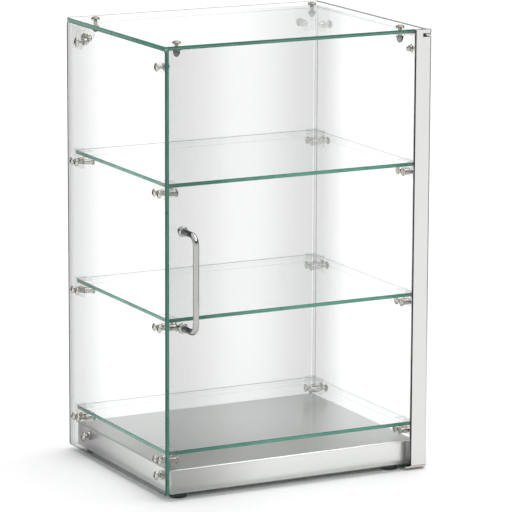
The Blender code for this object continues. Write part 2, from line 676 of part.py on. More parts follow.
def make_pivots():
    """The top pivot is a socket screw in the door, the bottom one a headed pin in the plate."""
    high, low = TOP - PIVOT_SCREW_DROP, SLOT_BOTTOM - BLOCK_HEIGHT + PIVOT_IN_BLOCK
    socket, depth = PIVOT_SOCKET
    profile = [
        (0.0, high - depth), (socket, high - depth), (socket, high),
        (PIVOT_RADIUS, high), (PIVOT_RADIUS, low), (0.0, low),
    ]
    screw = turned_mesh(profile, 12)
    add_piece("pivot_screw_top", screw, "polished_steel", "door", (PIVOT_X, PIVOT_Y, 0.0))
    under = BOTTOM_PLATE_TOP - PLATE - GAP
    tip = BASE_BOTTOM + BLOCK_HEIGHT - PIVOT_IN_BLOCK
    chamfer, chamfer_height = PIN_TIP_CHAMFER
    head, head_tip, head_height = PIN_HEAD
    profile = [
        (0.0, tip), (PIVOT_RADIUS - chamfer, tip), (PIVOT_RADIUS, tip - chamfer_height),
        (PIVOT_RADIUS, under), (head, under), (head_tip, under - head_height),
        (0.0, under - head_height),
    ]
    pin = turned_mesh(profile, 12)
    add_piece("pivot_pin_bottom", pin, "polished_steel", "case", (PIVOT_X, PIVOT_Y, 0.0))


# ---------------------------------------------------------------- door

def make_stile():
    """Fold the stile round the door's hinge edge, with a half-round nose about the pivot."""
    nose = STILE_DEPTH / 2
    path = [(STILE_LEFT, STILE_FRONT + STILE_RETURN), (STILE_LEFT, STILE_FRONT)]
    path += arc((PIVOT_X, PIVOT_Y), nose, 270.0, 450.0, 12)
    path.append((STILE_LEFT, STILE_BACK))
    shape = bmesh.new()
    verts = [shape.verts.new((x, y, BASE_BOTTOM)) for x, y in path]
    edges = [shape.edges.new(pair) for pair in zip(verts, verts[1:])]
    wall = bmesh.ops.extrude_edge_only(shape, edges=edges)["geom"]
    raised = [item for item in wall if isinstance(item, bmesh.types.BMVert)]
    bmesh.ops.translate(shape, vec=(0.0, 0.0, TOP - BASE_BOTTOM), verts=raised)
    bmesh.ops.recalc_face_normals(shape, faces=shape.faces)
    mesh = bpy.data.meshes.new("stile")
    shape.to_mesh(mesh)
    shape.free()
    front = min(mesh.polygons, key=lambda face: face.center.y)
    sheet = working_object(mesh)
    thick = sheet.modifiers.new("sheet", "SOLIDIFY")
    thick.thickness = SHEET
    thick.offset = -1.0 if front.normal.y < 0 else 1.0
    thick.use_even_offset = True
    stile = evaluated_mesh(sheet)
    bpy.data.objects.remove(sheet, do_unlink=True)
    closed = bmesh.new()
    closed.from_mesh(stile)
    bmesh.ops.recalc_face_normals(closed, faces=closed.faces)
    closed.to_mesh(stile)
    closed.free()
    slot = box_mesh((STILE_LEFT + SLOT_START, STILE_FRONT - CUT_MARGIN, SLOT_BOTTOM),
                    (STILE_RIGHT + CUT_MARGIN, STILE_BACK + CUT_MARGIN, SLOT_TOP))
    stile = cut(stile, [slot])
    shade(stile, 30.0)
    add_piece("door_stile", stile, "brushed_steel", "door")


def block_outline():
    """The space inside the stile at its nose: straight at the left, round about the pivot."""
    inside = STILE_DEPTH / 2 - SHEET - GAP
    outline = arc((PIVOT_X, PIVOT_Y), inside, -90.0, 90.0, 8)
    outline += [(PIVOT_X - BLOCK_LENGTH, PIVOT_Y + inside), (PIVOT_X - BLOCK_LENGTH, PIVOT_Y - inside)]
    return outline


def make_stile_blocks():
    """Pivot blocks in both ends of the stile, and the cap over the slot."""
    spans = {
        "stile_cap_top": (SLOT_TOP + GAP, TOP, "polished_steel"),
        "pivot_block_top": (SLOT_BOTTOM - GAP - BLOCK_HEIGHT, SLOT_BOTTOM - GAP, "nylon"),
        "pivot_block_bottom": (BASE_BOTTOM + GAP, BASE_BOTTOM + GAP + BLOCK_HEIGHT, "nylon"),
    }
    for name, (low, high, material) in spans.items():
        block = extruded_mesh(block_outline(), low, high)
        hole = rod_mesh((PIVOT_X, PIVOT_Y, low - GLASS), (0, 0, 1), high - low + 2 * GLASS,
                        PIVOT_HOLE, 16)
        add_piece(name, cut(block, [hole]), material, "door")


def handle_ends():
    return [(HANDLE_X, HANDLE_Z + sign * HANDLE_SPAN / 2) for sign in (-1, 1)]


def make_door_glass():
    right = STILE_LEFT + DOOR_EDGE_IN_STILE
    panel = box_mesh((DOOR_LEFT, DOOR_GLASS_FRONT, DOOR_BOTTOM), (right, DOOR_GLASS_BACK, DOOR_TOP),
                     GLASS_CHAMFER)
    holes = [rod_mesh((x, DOOR_GLASS_FRONT - GLASS, z), (0, 1, 0), 3 * GLASS, HOLE_RADIUS, 12)
             for x, z in handle_ends()]
    add_piece("door_glass", cut(panel, holes), "glass", "door")
    low = (STILE_LEFT + SHEET + GAP, DOOR_GLASS_FRONT - GAP - STRIP_THICKNESS, DOOR_BOTTOM)
    high = (right, DOOR_GLASS_FRONT - GAP, DOOR_TOP - STRIP_TOP_GAP)
    add_piece("stile_gasket", box_mesh(low, high), "gasket", "door")


def handle_route():
    """The bar's centre line: out of the glass, round a bend, up, round a bend and back."""
    start = DOOR_GLASS_FRONT - GAP
    out = DOOR_GLASS_FRONT - HANDLE_PROJECTION
    low, high = (z for _, z in handle_ends())
    bend_low = arc((out + HANDLE_BEND, low + HANDLE_BEND), HANDLE_BEND, 270.0, 180.0, 5)
    bend_high = arc((out + HANDLE_BEND, high - HANDLE_BEND), HANDLE_BEND, 180.0, 90.0, 5)
    return [(start, low)] + bend_low + bend_high + [(start, high)]


def make_handle():
    route = handle_route()
    curve = bpy.data.curves.new("handle", "CURVE")
    curve.dimensions = "3D"
    curve.bevel_depth = HANDLE_RADIUS
    curve.bevel_resolution = 2
    curve.use_fill_caps = True
    spline = curve.splines.new("POLY")
    spline.points.add(len(route) - 1)
    for point, (y, z) in zip(spline.points, route):
        point.co = (HANDLE_X, y, z, 1.0)
    source = bpy.data.objects.new("handle", curve)
    CUTTERS.objects.link(source)
    mesh = evaluated_mesh(source)
    bpy.data.objects.remove(source, do_unlink=True)
    shape = bmesh.new()
    shape.from_mesh(mesh)
    bmesh.ops.remove_doubles(shape, verts=shape.verts, dist=0.000001)
    bmesh.ops.recalc_face_normals(shape, faces=shape.faces)
    shape.to_mesh(mesh)
    shape.free()
    start = DOOR_GLASS_FRONT + GLASS
    holes = [rod_mesh((x, start, z), (0, -1, 0), GLASS + HANDLE_HOLE_DEPTH,
                      HANDLE_HOLE_RADIUS, 12)
             for x, z in handle_ends()]
    mesh = cut(mesh, holes)
    shade(mesh)
    add_piece("handle", mesh, "polished_steel", "door")


def make_handle_fittings():
    """Collars round the bar's ends, and the screws that hold it from behind the glass."""
    bore = HANDLE_RADIUS + GAP
    ring = [(COLLAR_RADIUS, 0.0), (COLLAR_RADIUS - COLLAR_TAPER, -COLLAR_HEIGHT),
            (bore, -COLLAR_HEIGHT), (bore, 0.0)]
    collar = moved(turned_mesh(ring, 16, closed=True), turn_to((0, 1, 0)))
    shank = GLASS + GAP + HANDLE_HOLE_DEPTH - HANDLE_SCREW_END_GAP
    pan = list(HANDLE_SCREW_HEAD)
    pan += [(HANDLE_SCREW_RADIUS, 0.0), (HANDLE_SCREW_RADIUS, -shank), (0.0, -shank)]
    screw = moved(turned_mesh(pan, 12), turn_to((0, 1, 0)))
    for (x, z), place in zip(handle_ends(), ("bottom", "top")):
        collar_at = (x, DOOR_GLASS_FRONT - GAP, z)
        add_piece("handle_collar_" + place, collar, "polished_steel", "door", collar_at)
        screw_at = (x, DOOR_GLASS_BACK + GAP, z)
        add_piece("handle_screw_" + place, screw, "polished_steel", "door", screw_at)


def main():
    make_base_tray()
    make_feet()
    make_side_glass()
    make_back_glass()
    make_top_glass()
    make_shelves()
    make_shelf_clips()
    make_connectors()
    make_bolts()
    make_top_hinge_plate()
    make_bottom_hinge_plate()
    make_pivots()
    make_stile()
    make_stile_blocks()
    make_door_glass()
    make_handle()
    make_handle_fittings()


clear_scene()
PARTS = make_collection("bakery_display_case")
CUTTERS = make_collection("cutters")
MATERIAL = {name: make_material(name, *values) for name, values in MATERIALS.items()}
CASE_EMPTY = make_empty("case_axes", (0.0, CASE_Y, 0.0))
HINGE_EMPTY = make_empty("hinge_axis", (PIVOT_X, PIVOT_Y, 0.0), CASE_EMPTY)
BODIES = {"case": CASE_EMPTY, "door": HINGE_EMPTY}
BODY_PLACES = {"case": Vector((0.0, 0.0, 0.0)), "door": Vector((PIVOT_X, PIVOT_Y, 0.0))}
main()
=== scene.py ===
import math

import bmesh
import bpy
from mathutils import Matrix, Vector


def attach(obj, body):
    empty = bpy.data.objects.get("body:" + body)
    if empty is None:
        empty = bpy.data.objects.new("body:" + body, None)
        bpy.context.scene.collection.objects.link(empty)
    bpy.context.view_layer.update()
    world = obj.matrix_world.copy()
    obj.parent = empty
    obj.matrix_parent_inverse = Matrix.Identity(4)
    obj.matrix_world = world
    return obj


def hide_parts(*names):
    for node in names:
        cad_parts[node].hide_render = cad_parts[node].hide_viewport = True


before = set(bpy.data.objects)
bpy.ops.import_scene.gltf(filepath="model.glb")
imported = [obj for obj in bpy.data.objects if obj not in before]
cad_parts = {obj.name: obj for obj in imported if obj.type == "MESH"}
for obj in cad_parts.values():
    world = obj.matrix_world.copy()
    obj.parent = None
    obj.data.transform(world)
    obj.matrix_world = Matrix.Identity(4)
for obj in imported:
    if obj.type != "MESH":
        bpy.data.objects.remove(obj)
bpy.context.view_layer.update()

# Sizes below are in millimetres from the middle of the glass box, on the floor.
mm = 0.001
SHIFT = 23.375               # the frame's Y of that middle
X, Y, Z = (1, 0, 0), (0, 1, 0), (0, 0, 1)
HALF_X, HALF_Y = 192.5, 151.75
BOTTOM, TOP = 6.0, 600.0
GLASS = 5.0
ARRIS = 0.7
HOLE = 3.0                   # the radius of a bolt's hole
GAP = 0.3                    # left between parts that would otherwise touch
SHEET = 1.2                  # folded steel
PLATE = 3.0                  # the clear plates that join the glass
LEAF = 2.5                   # the hinge's steel plates
INNER = HALF_X - GLASS
UNDER_TOP = TOP - GLASS - GAP
SIDES = ((-1, "left"), (1, "right"))
ENDS = ((-1, "front"), (1, "rear"))
SHELVES = {"lower": 62.8, "middle": 241.1, "upper": 419.4}
SHELF_X, SHELF_END = 185.0, 142.4
CLIP_BOLTS = (7.0, 21.0)     # from the shelf's end
CLIP_DROP = 8.5              # from the shelf's underside to its clip's bolts
CONNECTOR_X, CONNECTOR_Z = 165.0, 571.0
CONNECTOR_Y = {"front": -129.0, "rear": 118.0}
BASE_BOLT_Y = {"front": -125.0, "rear": 103.0}
BASE_BOLT_Z = 28.0
BACK_BASE_X = 120.0
FEET = {"front_left": (-168, -138), "rear_left": (-168, 118),
        "front_right": (150, -138), "rear_right": (168, 118)}
PIVOT = (191.15, -157.05)
PIN_HOLE = 2.05
LEAF_SCREWS = ((170.0, -142.0), (177.0, -126.0))
STILE_ROUND = 4.95           # the stile's outer radius round the pivot
DOOR_FRONT, DOOR_BACK = -158.6, -153.6
HANDLE_X, HANDLE_LOW, HANDLE_HIGH = -171.0, 231.5, 359.5


def at(x, y, z):
    return Vector((x, y + SHIFT, z)) * mm


def moved(x, y, z):
    return Matrix.Translation(at(x, y, z))


# ---------------------------------------------------------------- material nodes

def new_material(name):
    material = bpy.data.materials.new(name)
    material.use_nodes = True
    return material, material.node_tree, material.node_tree.nodes["Principled BSDF"]


def feed(tree, value, socket):
    """Link a node's output into a socket, or set a colour or a number there."""
    if isinstance(value, bpy.types.NodeSocket):
        tree.links.new(value, socket)
    else:
        socket.default_value = (*value, 1.0) if isinstance(value, tuple) else value


def axes(tree, coordinates="Object"):
    """The X, Y and Z of the object's own coordinates, or of the world's generated ones."""
    coords = tree.nodes.new("ShaderNodeTexCoord")
    split = tree.nodes.new("ShaderNodeSeparateXYZ")
    tree.links.new(coords.outputs[coordinates], split.inputs["Vector"])
    return split.outputs


def object_noise(tree, scale, stretch, detail):
    """Noise over the object's own coordinates, drawn out along the axes with a small stretch."""
    coords = tree.nodes.new("ShaderNodeTexCoord")
    mapping = tree.nodes.new("ShaderNodeMapping")
    mapping.inputs["Scale"].default_value = stretch
    noise = tree.nodes.new("ShaderNodeTexNoise")
    noise.inputs["Scale"].default_value = scale
    noise.inputs["Detail"].default_value = detail
    tree.links.new(coords.outputs["Object"], mapping.inputs["Vector"])
    tree.links.new(mapping.outputs["Vector"], noise.inputs["Vector"])
    return noise.outputs["Fac"]


def spread(tree, value, low, high, start=0.3, stop=0.7, easing="LINEAR"):
    """Map a value between start and stop, by default a noise's, to a range."""
    node = tree.nodes.new("ShaderNodeMapRange")
    node.interpolation_type = easing
    node.inputs["From Min"].default_value = start
    node.inputs["From Max"].default_value = stop
    node.inputs["To Min"].default_value = low
    node.inputs["To Max"].default_value = high
    tree.links.new(value, node.inputs["Value"])
    return node.outputs["Result"]


def calculated(tree, operation, *values):
    node = tree.nodes.new("ShaderNodeMath")
    node.operation = operation
    for value, socket in zip(values, node.inputs):
        feed(tree, value, socket)
    return node.outputs[0]


def ramps(tree, limits):
    """The product of (axis, start, stop) ramps over the object's own coordinates."""
    position = axes(tree)
    product, *others = [spread(tree, position[axis], 0.0, 1.0, start, stop)
                        for axis, start, stop in limits]
    for rise in others:
        product = calculated(tree, "MULTIPLY", product, rise)
    return product


def mixed(tree, factor, first, second, blend="MIX"):
    """Mix two colours or colour outputs."""
    node = tree.nodes.new("ShaderNodeMix")
    node.data_type = "RGBA"
    node.blend_type = blend
    feed(tree, factor, node.inputs["Factor"])
    feed(tree, first, node.inputs["A"])
    feed(tree, second, node.inputs["B"])
    return node.outputs["Result"]


def mixed_shaders(tree, factor, first, second):
    node = tree.nodes.new("ShaderNodeMixShader")
    tree.links.new(factor, node.inputs["Fac"])
    tree.links.new(first.outputs[0], node.inputs[1])
    tree.links.new(second.outputs[0], node.inputs[2])
    return node


def recolour(material, factor, other, blend="MIX"):
    """Mix another colour over a finish's own."""
    tree = material.node_tree
    colour = tree.nodes["Principled BSDF"].inputs["Base Color"]
    feed(tree, mixed(tree, factor, colour.links[0].from_socket, other, blend), colour)


# ---------------------------------------------------------------- materials

# Places and depths in the materials are in metres, in the frame.
BUMP_DEPTH = 0.00004
STEEL_TINT = (1.0, 1.0, 0.985)
TRAY_SHADE_SPAN = (0.166, -0.126)              # where the tray's painted shade runs, from the frame's Y at the back to that at the front
GLASS_TINT = (0.998, 1.0, 0.999)
MIRROR_TINT = (0.97, 1.0, 0.985)
MIRROR_LEAST, MIRROR_MORE, MIRROR_POWER = 0.015, 0.50, 5.0
EDGE_GREENS = ((0.024, 0.180, 0.125), (0.050, 0.250, 0.182))
# Painted highlight: a paler green along part of the top glass's front edge.
PAINTED_HIGHLIGHT_GREEN = (0.42, 0.66, 0.58)
# Painted shade: the dark line drawn by place along some glass edges.
PAINTED_DARK_LINE = (0.05, 0.055, 0.055)


def textured(name, dark, light, rough, scale, metallic=0.0, stretch=(1.0, 1.0, 1.0), detail=3.0,
             bump=0.0, coat=0.0, rim=1.0):
    """A finish whose colour and roughness vary softly with noise, with an optional bump.

    rim below 1 darkens a metal where it turns away.
    """
    material, tree, shader = new_material(name)
    noise = object_noise(tree, scale, stretch, detail)
    even = spread(tree, noise, 0.0, 1.0)
    feed(tree, mixed(tree, even, dark, light), shader.inputs["Base Color"])
    feed(tree, spread(tree, noise, *rough), shader.inputs["Roughness"])
    shader.inputs["Metallic"].default_value = metallic
    shader.inputs["Specular Tint"].default_value = (rim, rim, rim, 1.0)
    shader.inputs["Coat Weight"].default_value = coat
    if bump:
        relief = tree.nodes.new("ShaderNodeBump")
        relief.inputs["Strength"].default_value = bump
        relief.inputs["Distance"].default_value = BUMP_DEPTH
        tree.links.new(noise, relief.inputs["Height"])
        tree.links.new(relief.outputs["Normal"], shader.inputs["Normal"])
    return material


def brushed(name, stretch, dark, light, rough=(0.28, 0.30), metallic=1.0, rim=1.0):
    """Stainless steel with fine brush lines along the axis with the smallest stretch."""
    dark, light = (tuple(tone * c for c in STEEL_TINT) for tone in (dark, light))
    return textured(name, dark, light, rough, 60.0, metallic, stretch, detail=4.0, rim=rim)


def paint_shade_to_back(material, share):
    """Paint shade on the tray's steel: darker towards the back, down to a share of its colour."""
    tree = material.node_tree
    recolour(material, 1.0, spread(tree, axes(tree)["Y"], share, 1.0, *TRAY_SHADE_SPAN), "MULTIPLY")


def glass_face(name, shade=1.0, axis="X", clear_at=0.0, dark_at=1.0):
    """Thin clear glass: what is behind it shows through, with a mirror share that grows at a slant.

    shade below 1 paints a soft grey on it between two places along an axis: a painted
    reflection of a studio's grey surround.
    """
    material, tree, shader = new_material(name)
    tree.nodes.remove(shader)
    colour = GLASS_TINT
    if shade < 1.0:
        rise = spread(tree, axes(tree)[axis], 0.0, 1.0, clear_at, dark_at, "SMOOTHSTEP")
        colour = mixed(tree, rise, GLASS_TINT, (shade, shade, shade))
    through = tree.nodes.new("ShaderNodeBsdfTransparent")
    feed(tree, colour, through.inputs["Color"])
    mirror = tree.nodes.new("ShaderNodeBsdfGlossy")
    mirror.inputs["Roughness"].default_value = 0.0
    mirror.inputs["Color"].default_value = (*MIRROR_TINT, 1.0)
    slant = tree.nodes.new("ShaderNodeLayerWeight")
    slant.inputs["Blend"].default_value = 0.5
    grown = calculated(tree, "POWER", slant.outputs["Facing"], MIRROR_POWER)
    share = calculated(tree, "MULTIPLY_ADD", grown, MIRROR_MORE, MIRROR_LEAST)
    surface = mixed_shaders(tree, share, through, mirror)
    tree.links.new(surface.outputs[0], tree.nodes["Material Output"].inputs["Surface"])
    return material


def clear_plastic(name, colour, alpha):
    """Clear moulded plastic, slightly milky."""
    darker = tuple(0.9 * c for c in colour)
    material = textured(name, darker, colour, (0.10, 0.22), 120.0, coat=0.6)
    shader = material.node_tree.nodes["Principled BSDF"]
    shader.inputs["Alpha"].default_value = alpha
    shader.inputs["Coat Roughness"].default_value = 0.05
    return material


def clear_from_inside(material, tint, line=()):
    """Let a face show what is behind it, dimmed by tint, when it is met from inside the glass.

    line limits a painted dark line to where every (axis, start, stop) ramp has risen.
    """
    tree = material.node_tree
    colour = (tint, tint, tint)
    if line:
        colour = mixed(tree, ramps(tree, line), colour, PAINTED_DARK_LINE)
    through = tree.nodes.new("ShaderNodeBsdfTransparent")
    feed(tree, colour, through.inputs["Color"])
    side = tree.nodes.new("ShaderNodeNewGeometry").outputs["Backfacing"]
    surface = mixed_shaders(tree, side, tree.nodes["Principled BSDF"], through)
    tree.links.new(surface.outputs[0], tree.nodes["Material Output"].inputs["Surface"])
    return material


def glass_edges(name, tint, line=(), arris=0.04, painted_light=1.0, pale=()):
    """The materials of a plate's ground edge and of its dark and soft arrises, darker copies of the
    edge's green that paint shade on the arrises.

    tint and arris dim what shows through the edge and through the dark arris from inside, so the
    dark arris is a painted dark line;
    pale limits a painted highlight, a paler green, to where every (axis, start, stop) ramp has
    risen; painted_light scales the greens up as painted light.
    """
    greens = [tuple(painted_light * c for c in green) for green in EDGE_GREENS]
    edge = textured("glass_edge_" + name, *greens, (0.25, 0.35), 25.0, coat=0.1)
    if pale:
        recolour(edge, ramps(edge.node_tree, pale), PAINTED_HIGHLIGHT_GREEN)
    dark = textured("glass_arris_" + name, (0.012, 0.085, 0.058), (0.025, 0.120, 0.085),
                    (0.30, 0.40), 40.0)
    soft = textured("glass_arris_soft_" + name, (0.016, 0.110, 0.076), (0.032, 0.160, 0.115),
                    (0.30, 0.40), 40.0)
    return (clear_from_inside(edge, tint, line), clear_from_inside(dark, arris),
            clear_from_inside(soft, tint))


STEEL_X = brushed("brushed_steel_along_x", (1.0, 30.0, 30.0), 0.77, 0.80, metallic=0.85)
# Painted shade: the tray's steel darkens towards the back, down to 60 %.
paint_shade_to_back(STEEL_X, 0.60)
STEEL_Z = brushed("brushed_steel_upright", (30.0, 30.0, 1.0), 0.70, 0.73, (0.24, 0.26),
                  metallic=0.9, rim=0.2)
# Painted shade: a near-black copy of the upright steel for the stile's left return.
STEEL_PAINTED_SHADE = brushed("brushed_steel_return_shade", (30.0, 30.0, 1.0), 0.03, 0.05)
POLISHED = textured("polished_steel", (0.52, 0.50, 0.47), (0.62, 0.60, 0.57), (0.05, 0.10), 160.0,
                    metallic=1.0, rim=0.25)
# Painted shade: a darker copy of the polished steel for the roof's screws.
POLISHED_PAINTED_SHADE = textured("polished_steel_painted_shade", (0.26, 0.25, 0.23), (0.33, 0.32, 0.30), (0.05, 0.10),
                      160.0, metallic=1.0, rim=0.25)
SATIN = textured("satin_steel", (0.42, 0.42, 0.41), (0.50, 0.50, 0.49), (0.14, 0.20), 120.0,
                 metallic=1.0, stretch=(6.0, 6.0, 1.0), bump=0.03, rim=0.45)
TAPE = textured("mounting_tape", (0.90, 0.90, 0.89), (0.94, 0.94, 0.93), (0.5, 0.6), 90.0)
# Painted shadow inside the screws' sockets.
SOCKET_SHADOW = textured("socket_shadow", (0.10, 0.10, 0.10), (0.16, 0.16, 0.16), (0.35, 0.5), 200.0,
                  metallic=0.8)
RUBBER = textured("rubber", (0.012, 0.012, 0.013), (0.028, 0.028, 0.030), (0.50, 0.65), 220.0,
                  bump=0.3)
GASKET = textured("gasket", (0.09, 0.10, 0.10), (0.15, 0.16, 0.16), (0.45, 0.6), 150.0)
CARD = textured("card_black", (0.01, 0.01, 0.01), (0.02, 0.02, 0.02), (0.8, 0.9), 5.0)
NYLON = textured("nylon", (0.03, 0.03, 0.03), (0.06, 0.06, 0.06), (0.40, 0.55), 150.0, bump=0.1)
PLASTIC = clear_plastic("clear_plastic", (0.56, 0.58, 0.57), 0.10)
# Painted shade: a darker, less clear copy of the plastic for the rounded edges.
PLASTIC_RIM_SHADE = clear_plastic("clear_plastic_rim_shade", (0.34, 0.37, 0.35), 0.24)
# Seen from inside, these edges pass 0.84 of what lies behind; part of that dimming is painted shade
# that fits the faces' painted shade.
PALE_EDGE = clear_from_inside(clear_plastic("glass_edge_pale", (0.45, 0.58, 0.54), 0.12), 0.84)
CLEAR = glass_face("glass_face_plain")
PLAIN_EDGES = glass_edges("plain", 0.955)
# The left and right edges' tints carry their faces' painted shade; the left edges have a painted
# dark line on their outer side, and the right edges' dark arris is a fainter painted dark line.
LEFT_EDGES = glass_edges("left", 0.72, (("X", -0.1907, -0.1909),))
RIGHT_EDGES = glass_edges("right", 0.66, arris=0.28)
# The top edges have a painted dark line near the right end and a painted highlight, a paler green,
# along the lower part of the front edge.
TOP_EDGES = glass_edges("top", 0.955, (("X", 0.1900, 0.1905), ("Z", 0.5979, 0.5981)),
                        pale=(("Y", -0.1270, -0.1280), ("Z", 0.5980, 0.5966)))
# Painted light: the shelf edges' greens are brightened.
SHELF_EDGES = glass_edges("shelf", 0.955, painted_light=1.4)


# ---------------------------------------------------------------- mesh helpers

def linked(name, data):
    thing = bpy.data.objects.new(name, data)
    bpy.context.scene.collection.objects.link(thing)
    return thing


def evaluated(source):
    """A new mesh of an object with its modifiers or curve settings applied; the object goes."""
    bpy.context.view_layer.update()
    mesh = bpy.data.meshes.new_from_object(source.evaluated_get(
        bpy.context.evaluated_depsgraph_get()))
    bpy.data.objects.remove(source, do_unlink=True)
    return mesh


def opened(*meshes):
    """A shape to work on, with the faces of the meshes."""
    shape = bmesh.new()
    for mesh in meshes:
        shape.from_mesh(mesh)
    return shape


def written(shape, mesh, outwards=False):
    """Write a worked shape into a mesh, with its faces turned outwards when asked."""
    if outwards:
        bmesh.ops.recalc_face_normals(shape, faces=shape.faces)
    shape.to_mesh(mesh)
    shape.free()
    return mesh


def new_mesh(name, shape, outwards=False):
    return written(shape, bpy.data.meshes.new(name), outwards)


def merged(meshes):
    """Several closed bodies in one mesh."""
    return new_mesh("merged", opened(*meshes))


def combined(mesh, others, operation="DIFFERENCE"):
    body = linked("working", mesh)
    tools = [linked("working", other) for other in others]
    for tool in tools:
        step = body.modifiers.new("cut", "BOOLEAN")
        step.operation = operation
        step.solver = "EXACT"
        step.object = tool
    result = evaluated(body)
    for tool in tools:
        bpy.data.objects.remove(tool, do_unlink=True)
    return result


def add_bevel(source, width, segments):
    step = source.modifiers.new("soft", "BEVEL")
    step.width = width * mm
    step.segments = segments
    step.limit_method = "ANGLE"
    step.angle_limit = math.radians(30.0)


def softened(mesh, width, segments=2):
    """Round the sharp edges."""
    source = linked("working", mesh)
    add_bevel(source, width, segments)
    return evaluated(source)


def smooth(mesh, angle=35.0):
    mesh.shade_smooth()
    mesh.set_sharp_from_angle(angle=math.radians(angle))
    return mesh


def moulded(mesh, width=0.4, segments=2):
    """Round a clear part's edges and give them the second material, a darker and less clear copy as
    painted shade.

    The flat triangles that its cuts left are merged first.
    """
    shape = opened(mesh)
    bmesh.ops.dissolve_limit(shape, angle_limit=math.radians(1.0), verts=shape.verts,
                             edges=shape.edges)
    mesh = softened(written(shape, mesh), width, segments)
    for polygon in mesh.polygons:
        if max(abs(n) for n in polygon.normal) < 0.99:
            polygon.material_index = 1
    return smooth(mesh, 40.0)


def turn_to(axis):
    return Vector(Z).rotation_difference(Vector(axis)).to_matrix().to_4x4()


def block(corner, opposite):
    """A box between two corners in millimetres, in the frame."""
    low, high = at(*map(min, corner, opposite)), at(*map(max, corner, opposite))
    shape = opened()
    bmesh.ops.create_cube(shape, size=1.0)
    bmesh.ops.scale(shape, vec=high - low, verts=shape.verts)
    bmesh.ops.translate(shape, vec=(low + high) / 2, verts=shape.verts)
    return new_mesh("block", shape)


def rod(start, axis, length, radius=HOLE, segments=40):
    """A round rod from a point in the frame, in millimetres; by default it cuts a bolt's hole."""
    shape = opened()
    bmesh.ops.create_cone(shape, cap_ends=True, segments=segments, radius1=radius * mm,
                          radius2=radius * mm, depth=length * mm)
    middle = at(*start) + Vector(axis).normalized() * length * mm / 2
    bmesh.ops.transform(shape, matrix=Matrix.Translation(middle) @ turn_to(axis), verts=shape.verts)
    return new_mesh("rod", shape)


def hexagon(radius, low, high):
    """A hexagonal prism about Z, in millimetres."""
    shape = opened()
    bmesh.ops.create_cone(shape, cap_ends=True, segments=6, radius1=radius * mm,
                          radius2=radius * mm, depth=(high - low) * mm,
                          matrix=Matrix.Translation((0, 0, (high + low) / 2 * mm)))
    return new_mesh("hexagon", shape)


def bridge(shape, first, second):
    """Join two rings of points by quads, or a ring and a single point by triangles."""
    steps = max(len(first), len(second))
    for i in range(steps):
        j = (i + 1) % steps
        corners = (first[i % len(first)], first[j % len(first)],
                   second[j % len(second)], second[i % len(second)])
        corners = list(dict.fromkeys(corners))
        if len(corners) > 2:
            shape.faces.new(corners)


def turned(profile, steps=40, closed=False):
    """Turn (radius, height) points in millimetres about Z."""
    shape = opened()
    turns = [2 * math.pi * i / steps for i in range(steps)]
    rings = []
    for radius, height in profile:
        places = [(radius * mm * math.cos(t), radius * mm * math.sin(t), height * mm)
                  for t in (turns if radius > 0.0 else (0.0,))]
        rings.append([shape.verts.new(place) for place in places])
    for upper, lower in zip(rings, rings[1:]):
        bridge(shape, upper, lower)
    if closed:
        bridge(shape, rings[-1], rings[0])
    return smooth(new_mesh("turned", shape, outwards=True))


def arc(centre, radius, start, end, steps):
    turns = [math.radians(start + (end - start) * i / steps) for i in range(steps + 1)]
    return [(centre[0] + radius * math.cos(t), centre[1] + radius * math.sin(t)) for t in turns]


def rounded(low, high, radius):
    """A rectangle's outline with round corners, anticlockwise from its lower right."""
    left, right = low[0] + radius, high[0] - radius
    bottom, top = low[1] + radius, high[1] - radius
    points = []
    for centre, start in (((right, bottom), -90), ((right, top), 0),
                          ((left, top), 90), ((left, bottom), 180)):
        points += arc(centre, radius, start, start + 90, 6)
    return points


def slab(outline, holes, thickness, arris, segments=1):
    """A flat plate with (centre, radius) holes and softened edges, its middle at height 0."""
    curve = bpy.data.curves.new("slab", "CURVE")
    curve.dimensions = "2D"
    curve.fill_mode = "BOTH"
    curve.extrude = (thickness / 2 - arris) * mm
    curve.bevel_depth = arris * mm
    curve.bevel_resolution = segments - 1
    curve.offset = -arris * mm
    steps = 32
    for loop in [outline] + [arc(centre, radius, 0, 360 - 360 / steps, steps - 1)
                             for centre, radius in holes]:
        spline = curve.splines.new("POLY")
        spline.points.add(len(loop) - 1)
        for point, (x, y) in zip(spline.points, loop):
            point.co = (x * mm, y * mm, 0.0, 1.0)
        spline.use_cyclic_u = True
    mesh = evaluated(linked("working", curve))
    shape = opened(mesh)
    bmesh.ops.remove_doubles(shape, verts=shape.verts, dist=0.000001)
    return written(shape, mesh, outwards=True)


def placed(origin, u, v):
    """The matrix from a slab's plane to the frame: u and v are the plane's axes."""
    u, v = Vector(u), Vector(v)
    matrix = Matrix((u, v, u.cross(v))).transposed().to_4x4()
    return moved(*origin) @ matrix


def add(name, mesh, materials, body, nodes, place=None):
    """Make a piece that rides on the case or the door and stands for CAD nodes.

    A mesh that several pieces share keeps the materials of the first.
    """
    piece = linked(name, mesh)
    if not mesh.materials:
        for material in materials:
            mesh.materials.append(material)
    if place is not None:
        piece.matrix_world = place
    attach(piece, body)
    if nodes:
        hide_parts(*nodes)


# ---------------------------------------------------------------- glass

# The order of a glass plate's materials.
FACE, EDGE, DARK_ARRIS, SOFT_ARRIS, COVERED_EDGE, PLAIN_FACE = range(6)


